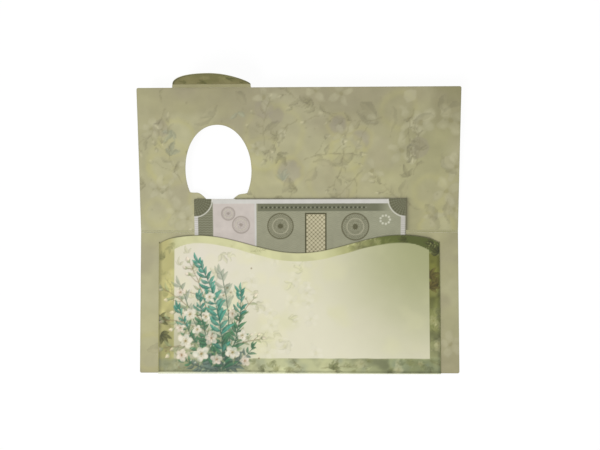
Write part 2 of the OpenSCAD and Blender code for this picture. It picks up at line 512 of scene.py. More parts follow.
@dataclass(frozen=True)
class Place:
    """A sheet's own axes in the frame: X across, along the sheet, and its normal. Millimetres."""

    origin: tuple[float, float, float]
    tilt: float

    def at(self, x: Array | float, v: Array | float, n: Array | float) -> Array:
        """Returns origin + x across + v along (0, cos, sin) + n along the normal (0, -sin, cos)."""
        c, s = math.cos(self.tilt), math.sin(self.tilt)
        ox, oy, oz = self.origin
        return np.stack([ox + x + 0 * v, oy + v * c - n * s, oz + v * s + n * c], -1)

    def skins(self, x: Array, v: Array, middle: Array | float) -> tuple[Array, Array]:
        """Returns the inner and the outer face of card whose middle has that height over the axes."""
        return self.at(x, v, middle + CARD.thick / 2), self.at(x, v, middle - CARD.thick / 2)


@dataclass(frozen=True)
class Hinges:
    """Axis points of the creases in the frame, in millimetres, read from its joints."""

    spine: Array
    cover: Array
    tab: Array
    tongue: Array

    @classmethod
    def of(cls, frame: dict) -> "Hinges":
        """Returns the hinges of a loaded frame."""
        place = {j["name"]: np.array(j["pos_m"], float) / MM for j in frame["joints"]}
        return cls(place["spine_fold"], place["cover_fold"], place["tab_fold"], place["tongue_fold"])

    @staticmethod
    def _tilt(a: Array, b: Array) -> float:
        """Returns the angle of the line from a to b over the table."""
        return math.atan2(b[2] - a[2], b[1] - a[1])

    def spine_place(self) -> Place:
        """Returns the spine's axes about its lower crease."""
        return Place((0.0, self.spine[1], self.spine[2]), self._tilt(self.spine, self.cover))

    def cover_place(self) -> Place:
        """Returns the cover's axes about the spine's upper crease."""
        return Place((0.0, self.cover[1], self.cover[2]), self._tilt(self.cover, self.tab))

    def tongue_place(self, stand: float) -> Place:
        """Returns the tongue's axes about its crease, standing that many radians above the cover."""
        x, y, z = self.tongue
        return Place((float(x), float(y), float(z)), self._tilt(self.cover, self.tab) + stand)


def grid_quads(rows: int, cols: int) -> Array:
    """Returns the corner numbers, counterclockwise, of each cell in a grid of points numbered row by row."""
    n = np.arange(rows * cols).reshape(rows, cols)
    return np.stack([n[:-1, :-1], n[:-1, 1:], n[1:, 1:], n[1:, :-1]], -1).reshape(-1, 4)


@dataclass
class FlatMesh:
    """A flat mesh of quads: points in millimetres and each quad's corner numbers, counterclockwise."""

    points: Array
    quads: Array

    @classmethod
    def grid(cls, x: Array, y: Array) -> "FlatMesh":
        """Returns the quads of a grid whose points are in arrays of rows and columns."""
        return cls(np.stack([x.ravel(), y.ravel()], 1), grid_quads(*x.shape))

    @classmethod
    def joined(cls, parts: Sequence["FlatMesh"]) -> "FlatMesh":
        """Returns the parts as one mesh, with points that fall together merged."""
        start = np.cumsum([0] + [len(p.points) for p in parts])
        points = np.concatenate([p.points for p in parts])
        quads = np.concatenate([p.quads + s for p, s in zip(parts, start)])
        _, first, inverse = np.unique(np.round(points, 4), axis=0, return_index=True, return_inverse=True)
        return cls(points[first], inverse.reshape(-1)[quads])

    def without(self, drop: Array) -> "FlatMesh":
        """Returns the mesh without the quads where drop is true, and without points that nothing uses."""
        quads = self.quads[~drop]
        used, inverse = np.unique(quads, return_inverse=True)
        return FlatMesh(self.points[used], inverse.reshape(quads.shape))

    def rim(self) -> Array:
        """Returns the edges that only one quad has, each in that quad's own direction."""
        edges = np.concatenate([self.quads[:, [k, (k + 1) % 4]] for k in range(4)])
        key = np.sort(edges, 1)
        _, index, count = np.unique(key, axis=0, return_index=True, return_counts=True)
        return edges[index[count == 1]]


@dataclass
class Sheet:
    """A closed sheet of card or paper over a flat mesh: two faces and the cut edge between them."""

    name: str
    flat: FlatMesh
    inner: Array
    outer: Array
    inner_print_and_shade: Array
    outer_print_and_shade: Array

    def build(self, face: StockFinish, edge: StockFinish) -> bpy.types.Object:
        """Makes the mesh object.

        Args:
            face: Finish of the two faces.
            edge: Finish of the cut edge.

        Returns:
            The object, at the origin, with its colours in a point attribute.
        """
        count = len(self.flat.points)
        rim = self.flat.rim()
        walls = np.stack([rim[:, 1], rim[:, 0], rim[:, 0] + count, rim[:, 1] + count], 1)
        faces = np.concatenate([self.flat.quads, self.flat.quads[:, ::-1] + count, walls])
        part = np.repeat([0, 1], [2 * len(self.flat.quads), len(walls)])
        points = np.concatenate([self.inner, self.outer]) * MM
        colours = np.concatenate([self.inner_print_and_shade, self.outer_print_and_shade])
        return make_object(self.name, points, faces.tolist(), part, colours, (face, edge))


def make_object(name: str, points: Array, faces: list[list[int]], part: Array, colours: Array,
                finishes: Sequence[StockFinish], sharp: float = 35.0) -> bpy.types.Object:
    """Puts arrays into a mesh object.

    Args:
        name: Name of the piece.
        points: Places in metres.
        faces: Corner numbers of each face.
        part: Number of each face's finish.
        colours: sRGB colour of each point.
        finishes: The finishes.
        sharp: Edges that turn more than this many degrees stay sharp.

    Returns:
        The linked object.
    """
    mesh = bpy.data.meshes.new(name)
    mesh.from_pydata(points.tolist(), [], faces)
    for finish in finishes:
        mesh.materials.append(finish.material())
    mesh.polygons.foreach_set("material_index", part.astype(np.int32))
    mesh.polygons.foreach_set("use_smooth", np.ones(len(mesh.polygons), bool))
    layer = mesh.color_attributes.new(PRINT, "FLOAT_COLOR", "POINT")
    values = np.concatenate([linear(colours), np.ones((len(colours), 1))], 1)
    layer.data.foreach_set("color", values.astype(np.float32).ravel())
    mesh.set_sharp_from_angle(angle=math.radians(sharp))
    mesh.update()
    mesh.validate()
    piece = bpy.data.objects.new(name, mesh)
    bpy.context.scene.collection.objects.link(piece)
    return piece


class Wiring:
    """Short ways to add and join nodes in a material or a node group."""

    def __init__(self, tree: bpy.types.NodeTree) -> None:
        """Takes the node tree to work in."""
        self.tree = tree

    def node(self, kind: str, **settings: object) -> bpy.types.Node:
        """Adds a node.

        Args:
            kind: Its Blender type.
            settings: Attributes of the node, or with a leading underscore values of its inputs by name.

        Returns:
            The node.
        """
        made = self.tree.nodes.new(kind)
        for key, value in settings.items():
            if key.startswith("_"):
                made.inputs[key[1:].replace("_", " ")].default_value = value
            else:
                setattr(made, key, value)
        return made

    def join(self, source: bpy.types.NodeSocket, target: bpy.types.NodeSocket) -> None:
        """Joins an output to an input."""
        self.tree.links.new(source, target)

    def maths(self, operation: str, a: object, b: object) -> bpy.types.NodeSocket:
        """Adds a Math node whose inputs are sockets or numbers, and returns its output."""
        made = self.node("ShaderNodeMath", operation=operation)
        for k, value in enumerate((a, b)):
            if isinstance(value, bpy.types.NodeSocket):
                self.join(value, made.inputs[k])
            else:
                made.inputs[k].default_value = value
        return made.outputs[0]

    def mix(self, factor: object, a: object, b: object) -> bpy.types.NodeSocket:
        """Adds a colour Mix node whose inputs are sockets or values, and returns its output."""
        made = self.node("ShaderNodeMix", data_type="RGBA")
        for socket, value in ((made.inputs[0], factor), (made.inputs[6], a), (made.inputs[7], b)):
            if isinstance(value, bpy.types.NodeSocket):
                self.join(value, socket)
            else:
                socket.default_value = value
        return made.outputs[2]


def new_material(name: str) -> tuple[bpy.types.Material, Wiring, bpy.types.Node]:
    """Makes a material and returns it with its wiring and its Principled shader."""
    made = bpy.data.materials.new(name)
    made.use_nodes = True
    return made, Wiring(made.node_tree), made.node_tree.nodes["Principled BSDF"]


def grain_group() -> bpy.types.NodeTree:
    """Makes the shared effect of laminated stock, or returns it if it is there.

    Three noises in Object coordinates, one of fibres, one of soft clouds and one of a weave between the two,
    vary the colour, the roughness and a fine bump.

    Returns:
        The node group, with inputs Color, Fibre, Cloud, Sheen and Relief and outputs Color, Roughness and
        Normal.
    """
    found = bpy.data.node_groups.get("stock_grain")
    if found:
        return found
    group = bpy.data.node_groups.new("stock_grain", "ShaderNodeTree")
    face = group.interface
    face.new_socket("Color", in_out="INPUT", socket_type="NodeSocketColor")
    for name, value in (("Fibre", 0.03), ("Cloud", 0.04), ("Sheen", 0.5), ("Relief", 0.1)):
        face.new_socket(name, in_out="INPUT", socket_type="NodeSocketFloat").default_value = value
    for name, kind in (("Color", "Color"), ("Roughness", "Float"), ("Normal", "Vector")):
        face.new_socket(name, in_out="OUTPUT", socket_type="NodeSocket" + kind)
    w = Wiring(group)
    given, result = w.node("NodeGroupInput"), w.node("NodeGroupOutput")
    place = w.node("ShaderNodeTexCoord")
    fibre = w.node("ShaderNodeTexNoise", _Scale=2600.0, _Detail=3.0, _Roughness=0.6)
    cloud = w.node("ShaderNodeTexNoise", _Scale=75.0, _Detail=4.0, _Roughness=0.55)
    weave = w.node("ShaderNodeTexNoise", _Scale=700.0, _Detail=2.0, _Roughness=0.5)
    for made in (fibre, cloud, weave):
        w.join(place.outputs["Object"], made.inputs["Vector"])

    def swing(made: bpy.types.Node, by: object) -> bpy.types.NodeSocket:
        """Returns the noise less its middle value, times by."""
        return w.maths("MULTIPLY", w.maths("SUBTRACT", made.outputs["Fac"], 0.5), by)

    both = w.maths("ADD", swing(fibre, given.outputs["Fibre"]), swing(cloud, given.outputs["Cloud"]))
    tone = w.node("ShaderNodeVectorMath", operation="SCALE")
    w.join(given.outputs["Color"], tone.inputs[0])
    w.join(w.maths("ADD", both, 1.0), tone.inputs["Scale"])
    w.join(tone.outputs[0], result.inputs["Color"])
    w.join(w.maths("ADD", given.outputs["Sheen"], swing(weave, 0.16)), result.inputs["Roughness"])
    height = w.maths("ADD", w.maths("MULTIPLY", fibre.outputs["Fac"], 0.35), weave.outputs["Fac"])
    bump = w.node("ShaderNodeBump", _Distance=0.00004)
    w.join(given.outputs["Relief"], bump.inputs["Strength"])
    w.join(height, bump.inputs["Height"])
    w.join(bump.outputs["Normal"], result.inputs["Normal"])
    return group


@dataclass(frozen=True)
class StockFinish:
    """Finish of card or paper, coloured by the painted print and painted shade or by tones of its own.

    Attributes:
        name: Name of the material.
        sheen: Roughness of the surface.
        gloss: Specular level.
        fibre: Strength of the fibre noise in the colour.
        cloud: Strength of the soft clouds in the colour.
        relief: Strength of the fine bump.
        inner: Colour of the inner face, or None to read the print.
        outer: Colour of the outer face, or None for the same as the inner.
        spots: Colour of soft leaf-like spots on a plain tone, or None.
        far: Colour that the inner face turns to towards the sheet's right end as painted shade, or None.
    """

    name: str
    sheen: float
    gloss: float
    fibre: float
    cloud: float
    relief: float
    inner: Colour | None = None
    outer: Colour | None = None
    spots: Colour | None = None
    far: Colour | None = None

    def material(self) -> bpy.types.Material:
        """Makes the material, or returns it if it is there."""
        found = bpy.data.materials.get(self.name)
        if found:
            return found
        made, w, shader = new_material(self.name)
        shader.inputs["Specular IOR Level"].default_value = self.gloss
        group = w.node("ShaderNodeGroup", node_tree=grain_group(), _Fibre=self.fibre, _Cloud=self.cloud,
                       _Sheen=self.sheen, _Relief=self.relief)
        if self.inner is None:
            paint = w.node("ShaderNodeAttribute", attribute_name=PRINT, attribute_type="GEOMETRY")
            colour = paint.outputs["Color"]
        else:
            colour = self._plain(w)
        w.join(colour, group.inputs["Color"])
        w.join(group.outputs["Color"], shader.inputs["Base Color"])
        w.join(group.outputs["Roughness"], shader.inputs["Roughness"])
        w.join(group.outputs["Normal"], shader.inputs["Normal"])
        return made

    def _plain(self, w: Wiring) -> bpy.types.NodeSocket:
        """Returns the plain tones: one inside, another outside, with soft spots over both."""
        place = w.node("ShaderNodeTexCoord")
        split = w.node("ShaderNodeSeparateXYZ")
        w.join(place.outputs["Normal"], split.inputs[0])
        inside = w.maths("GREATER_THAN", split.outputs["Z"], -0.25)
        face: object = rgba(self.inner)
        # Towards the right end the inner face turns to far: painted shade.
        if self.far:
            across = w.node("ShaderNodeSeparateXYZ")
            w.join(place.outputs["Object"], across.inputs[0])
            share = w.node("ShaderNodeMapRange", interpolation_type="SMOOTHSTEP", _From_Min=0.01,
                           _From_Max=0.1)
            w.join(across.outputs["X"], share.inputs["Value"])
            face = w.mix(share.outputs["Result"], rgba(self.inner), rgba(self.far))
        colour = w.mix(inside, rgba(self.outer or self.inner), face)
        if self.spots:
            cells = w.node("ShaderNodeTexVoronoi", feature="SMOOTH_F1", _Scale=150.0, _Smoothness=0.6)
            w.join(place.outputs["Object"], cells.inputs["Vector"])
            ramp = w.node("ShaderNodeValToRGB")
            stops = ((0.18, (1, 1, 1, 1)), (0.5, (0, 0, 0, 1)))
            for stop, (at, grey) in zip(ramp.color_ramp.elements, stops):
                stop.position, stop.color = at, grey
            w.join(cells.outputs["Distance"], ramp.inputs["Fac"])
            colour = w.mix(w.maths("MULTIPLY", ramp.outputs["Color"], 0.4), colour, rgba(self.spots))
        return colour


@dataclass(frozen=True)
class GlueFinish:
    """Dried adhesive film: pale, a little clear, with small bubbles."""

    name: str = "dried_adhesive"
    tone: Colour = (226, 222, 198)

    def material(self) -> bpy.types.Material:
        """Makes the material, or returns it if it is there."""
        found = bpy.data.materials.get(self.name)
        if found:
            return found
        made, w, shader = new_material(self.name)
        shader.inputs["Roughness"].default_value = 0.35
        shader.inputs["Specular IOR Level"].default_value = 0.5
        place = w.node("ShaderNodeTexCoord")
        bubbles = w.node("ShaderNodeTexVoronoi", _Scale=900.0)
        w.join(place.outputs["Object"], bubbles.inputs["Vector"])
        deep = tuple(0.86 * v for v in rgba(self.tone)[:3]) + (1.0,)
        w.join(w.mix(bubbles.outputs["Distance"], deep, rgba(self.tone)), shader.inputs["Base Color"])
        bump = w.node("ShaderNodeBump", _Strength=0.25, _Distance=0.00005)
        w.join(bubbles.outputs["Distance"], bump.inputs["Height"])
        w.join(bump.outputs["Normal"], shader.inputs["Normal"])
        return made


FACE = StockFinish("laminated_print", sheen=0.52, gloss=0.3, fibre=0.05, cloud=0.05, relief=0.12)
EDGE = StockFinish("cut_card_edge", sheen=0.85, gloss=0.15, fibre=0.3, cloud=0.05, relief=0.3,
                   inner=(196, 192, 160))
# The scored strips take the card's tones round them, darker towards the right and at the cover's far end as
# painted shade.
PLAIN = StockFinish("scored_card", sheen=0.56, gloss=0.25, fibre=0.1, cloud=0.06, relief=0.3,
                    inner=(168, 165, 128), outer=(140, 142, 92), spots=(158, 154, 118), far=(156, 153, 115))
# The pressed scores are lighter than the strips: partly pale wear of a crease and partly painted light over
# the shade of its groove.
SCORE = replace(PLAIN, name="pressed_score", inner=(183, 180, 143), outer=(146, 148, 98),
                spots=(172, 169, 132), far=(180, 177, 138))
TAB = replace(PLAIN, name="creased_tab", inner=(158, 153, 116), spots=(149, 144, 108), far=None)
TAB_SCORE = replace(SCORE, name="pressed_tab_score", inner=(172, 167, 130), spots=(162, 157, 121), far=None)
TURN = replace(TAB, name="tongue_score", inner=(156, 151, 115), spots=(142, 138, 100))
# The folded sides' tones are partly the border's print and partly painted shade of the fold.
LEFT_FOLD = StockFinish("left_folded_border", sheen=0.52, gloss=0.3, fibre=0.08, cloud=0.08, relief=0.2,
                        inner=(156, 152, 98), outer=(150, 148, 112), spots=(132, 130, 84))
RIGHT_FOLD = replace(LEFT_FOLD, name="right_folded_border", inner=(124, 126, 82), spots=(104, 108, 66))
LINING = StockFinish("flap_lining", sheen=0.6, gloss=0.2, fibre=0.08, cloud=0.05, relief=0.15,
                     inner=(150, 152, 104), outer=(178, 174, 140), spots=(128, 132, 84))
PAPER = StockFinish("slip_print", sheen=0.82, gloss=0.15, fibre=0.07, cloud=0.03, relief=0.2)
PAPER_EDGE = StockFinish("slip_cut_edge", sheen=0.9, gloss=0.1, fibre=0.2, cloud=0.03, relief=0.2,
                         inner=(206, 203, 192))
GLUE = GlueFinish()


def edge_shade_and_wear(sheet: Print, distance: Array, seed: int) -> None:
    """Darkens the print a little within a millimetre of a cut edge as painted shade, and rubs it pale in
    places as wear.
    """
    # Painted shade along the cut edge.
    sheet.shade(smooth(1 - distance / 1.1), 0.95)
    rubbed = patches(sheet.x, sheet.y, 5.0, seed, 3.4, 2.0)
    sheet.wash(0.2 * smooth(1 - distance / 0.6) * rubbed, (204, 202, 172))


def shaded_worn_print(x: Array, y: Array, colours: Array, distance: Array, seed: int) -> Print:
    """Returns a print of those colours, with painted shade and wear along the cut edges at those distances.
    """
    sheet = Print(x, y, (0, 0, 0))
    sheet.rgb = colours
    edge_shade_and_wear(sheet, distance, seed)
    return sheet


def lining_print_and_shade(x: Array, y: Array, seed: int, busy: float) -> Array:
    """Paints the faint print inside the folder, khaki with blurred twigs, leaves, petals, discs and halos,
    over a ground darkened in places as painted shade.

    Args:
        x: Places along X.
        y: Distance from the bottom edge of the open sheet, towards whose far end the ground darkens as
            painted shade.
        seed: Seed of the motifs.
        busy: Density of the motifs, from 0 to 1.

    Returns:
        The sRGB colours.
    """
    sheet = Print(x, y, (175, 171, 134), 1.1, seed)
    # The first eight washes darken the ground towards its far end, its right side, its bottom and the cover's
    # left edge: painted shade. The last three are patches of the print's own tone.
    sheet.washes(
        (rise(y, 92, 16), (171, 167, 129)),
        (rise(y, 150, 42) * 0.9, (152, 146, 115)),
        (rise(x, 40, 62) * (0.35 + 0.4 * rise(y, 95, 100)), (149, 146, 107)),
        (rise(x, 60, 40) * rise(y, 165, 25) * 0.85, (139, 134, 97)),
        (rise(x, 8, 25) * bell(y, 186, 13) * 0.55, (147, 142, 112)),
        (rise(x, 50, 40) * bell(y, 103, 16) * 0.5, (156, 152, 114)),
        (rise(x, -94, -16) * rise(y, 96, 8) * 0.6, (161, 157, 122)),
        (rise(y, 34, -30) * 0.8, (157, 151, 118)),
        (0.4 * patches(x, y, 30, seed, 3.2, 1.5), (174, 170, 124)),
        (0.45 * patches(x, y, 24, seed + 9, 3.2, 1.6), (154, 147, 122)),
        (0.4 * patches(x, y, 19, seed + 19, 3.2, 1.6), (180, 177, 142)))
    rng = np.random.default_rng(seed)
    low, high = float(y.min()), float(y.max())
    many = busy * (high - low) / 100

    def anywhere() -> Point:
        """Returns a random place on the sheet."""
        return float(rng.uniform(-111, 111)), float(rng.uniform(low, high))

    for k in range(int(11 * many)):
        (cx, cy), r = anywhere(), rng.uniform(7, 13)
        sheet.spot(cx, cy, r, (176, 173, 134) if k % 3 else (144, 137, 122), 0.42, 4.0)
        sheet.ring(cx, cy, r, 3.6, (180, 174, 112), 0.3)
    for cx, cy, r in ((-91, 148, 15), (24, 136, 17), (-17, 168, 20), (92, 127, 11), (70, 184, 12),
                      (-100, 113, 9)):
        sheet.spot(cx, cy, r - 3, (164, 159, 126), 0.3, 6.0)
        sheet.ring(cx, cy, r, 5.0, (181, 176, 120), 0.27)
    for cx, cy, r in ((-24, 185, 6.5), (-15, 180, 5.0), (84, 158, 7.0), (50, 117, 5.5), (-97, 172, 5.5)):
        sheet.spot(cx, cy, r, (146, 138, 122), 0.4, 2.0)
    for _ in range(int(7 * many)):
        (cx, cy), r = anywhere(), rng.uniform(2.5, 5.5)
        sheet.spot(cx, cy, r, (184, 180, 150), 0.42, 1.0)
    petal = BlossomTone((184, 180, 148), (136, 130, 92), (146, 141, 108), 0.5)
    for _ in range(int(26 * many)):
        cx, cy = anywhere()
        sheet.blossom(cx, cy, rng.uniform(6, 12), rng.uniform(0, 360), petal, int(rng.integers(3, 6)),
                      rng.uniform(0.22, 0.36))
    smudge = LeafTone((126, 121, 92), (144, 139, 110), (158, 154, 124), 0.32)
    for _ in range(int(30 * many)):
        sheet.leaf(anywhere(), rng.uniform(0, 360), rng.uniform(10, 20), rng.uniform(4, 8), smudge)
    wood = LeafTone((130, 125, 92), (146, 141, 110), (160, 155, 124), 0.42)
    for _ in range(int(18 * many)):
        cx, cy = anywhere()
        turn, length = rng.uniform(0, 360), rng.uniform(24, 46)
        sheet.branch((cx, cy), turn, length, (132, 126, 94), wood, (182, 177, 144), rng)
    dark = LeafTone((112, 108, 78), (138, 134, 102), (154, 150, 118), 0.5)
    cool = LeafTone((124, 132, 114), (146, 152, 130), (162, 164, 134), 0.4)
    for k in range(int(26 * many)):
        tone = cool if k % 4 == 1 else dark
        sheet.cluster(anywhere(), rng.uniform(0, 360), rng.uniform(5, 10), tone, 2 + k % 3)
    for _ in range(int(70 * many)):
        cx, cy = anywhere()
        sheet.spot(cx, cy, rng.uniform(0.3, 0.8), (128, 123, 92), 0.3, 0.8)
    sheet.mottle(7.0, 0.04, seed + 3)
    return sheet.rgb


def outside_print(x: Array, y: Array, seed: int) -> Array:
    """Paints the folder's outside: olive ground with a denser spread of leaves and pale blossoms."""
    sheet = Print(x, y, (160, 160, 108), 0.7, seed)
    sheet.washes((patches(x, y, 40, seed, 3, 1.2) * 0.6, (186, 184, 134)),
                 (patches(x, y, 30, seed + 5, 3, 1.7) * 0.55, (122, 128, 82)))
    low, high = float(y.min()), float(y.max())
    olive_scatter(sheet, (-112, 112, low, high), int(1.4 * (high - low)), seed, 0.62, 1.45)
    sheet.mottle(6.0, 0.05, seed + 3)
    return sheet.rgb


def rounded_corner(x: Array, into: Array) -> Array:
    """Draws the outer end of each row in, so that a corner gets its radius.

    Args:
        x: Places across.
        into: How far the row lies inside the corner radius, from the radius's start, 0 or less outside.

    Returns:
        The new places across.
    """
    r, end = CARD.corner, 1.5
    drop = r - np.sqrt(np.maximum(r * r - np.clip(into, 0, r) ** 2, 0))
    zone = np.clip((np.abs(x) - (CARD.width / 2 - end)) / end, 0, 1)
    return x - np.sign(x) * zone * drop


def corner_rows() -> Array:
    """Returns how far the rows round a corner lie from the sheet's edge, 18 degrees of its arc apart."""
    return CARD.corner * (1 - np.cos(np.radians([0, 18, 36, 54, 72, 90])))


def side_columns() -> Array:
    """Returns X of the columns just inside the sheet's two sides, which carry the wear of the edges."""
    half = CARD.width / 2
    return np.array([-half + 0.3, half - 0.3, -half + 0.8, half - 0.8])


def even(a: float, b: float, step: float) -> Array:
    """Returns places from a to b at even steps near step."""
    return np.linspace(a, b, max(int(round((b - a) / step)), 1) + 1)


def lines(*parts: Array) -> Array:
    """Joins runs of grid lines and drops repeats."""
    every = np.sort(np.concatenate(parts))
    return every[np.concatenate([[True], np.diff(every) > 1e-6])]


@dataclass
class BackPanel:
    """The back of the folder, which lies on the table."""

    step: float = 0.75

    def build(self) -> bpy.types.Object:
        """Makes the sheet: a flat grid with two rounded corners, printed on both of its faces."""
        half = CARD.width / 2
        xs = lines(even(-half, half, self.step), side_columns())
        ys = lines(CARD.back_low + corner_rows(), even(CARD.back_low + CARD.corner, CARD.back_top, self.step))
        x, y = np.meshgrid(xs, ys)
        flat = FlatMesh.grid(rounded_corner(x, CARD.back_low + CARD.corner - y), y)
        px, py = flat.points.T
        reach = np.minimum.reduce([half - np.abs(px), py - CARD.back_low, np.full(px.size, 9.0)])
        height = py - CARD.back_low
        inner = shaded_worn_print(px, py, lining_print_and_shade(px, height, seed=11, busy=0.22), reach, seed=5)
        # Painted shadow of the lip on the back: soft above its right end, thin above its left part.
        above = np.maximum(py - lip_height(px), 0)
        inner.shade(np.exp(-above / 1.8) * rise(px, 66, 12) * rise(px, 98, -8), 0.78)
        inner.shade(np.exp(-above / 0.6) * rise(px, -74, -3) * rise(px, -93, 5), 0.8)
        outer = shaded_worn_print(px, py, outside_print(px, height, seed=71), reach, seed=6)
        skins = Place((0, 0, 0), 0.0).skins(px, py, CARD.thick / 2)
        piece = Sheet("back_sheet", flat, *skins, inner.rgb, outer.rgb).build(FACE, EDGE)
        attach(piece, Body.ROOT.value)
        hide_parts("back_panel")
        return piece


@dataclass
class LabelField:
    """The pale writing field on the pocket, with its top edge waved like the lip."""

    left: float = -88.3
    right: float = 91.8
    bottom: float = -39.2
    crest: float = 42.0
    wave: float = 6.55
    middle: float = 1.4
    flat_half: float = 76.0
    corner: Point = (14.0, 2.7)

    def top(self, x: Array) -> Array:
        """Returns Y of the field's top edge: a cosine like the lip's that drops at its two corners."""
        across, drop = self.corner
        end = np.clip((np.abs(x - self.middle) - self.flat_half) / across, 0, 1) ** 1.8
        return self.crest - self.wave * (1 + np.cos(2 * np.pi * x / LIP.wave)) - drop * end

    def depth(self, x: Array, y: Array) -> Array:
        """Returns how far each point lies inside the field, in millimetres, less than 0 outside."""
        return np.minimum.reduce([x - self.left, self.right - x, y - self.bottom, self.top(x) - y])


TEAL = LeafTone((34, 98, 84), (70, 146, 124), (140, 190, 160), 0.92)
EMERALD = LeafTone((38, 80, 60), (70, 122, 82), (126, 162, 108), 0.9)
SLATE = LeafTone((64, 82, 76), (94, 114, 100), (140, 152, 130), 0.85)
SAGE_LEAF = LeafTone((122, 134, 94), (156, 164, 118), (188, 190, 148), 0.65)
SHADOW_LEAF = LeafTone((104, 124, 104), (138, 152, 126), (160, 168, 140), 0.5)
CREAM = BlossomTone((236, 230, 212), (150, 128, 76), (190, 180, 144), 0.93)
BLUSH = BlossomTone((232, 220, 202), (146, 112, 76), (194, 174, 148), 0.88)
RUSSET = LeafTone((58, 52, 22), (96, 86, 42), (128, 116, 64), 0.8)
BARK_LEAF = LeafTone((46, 48, 20), (82, 84, 44), (122, 124, 74), 0.8)
TWIG = (116, 98, 68)


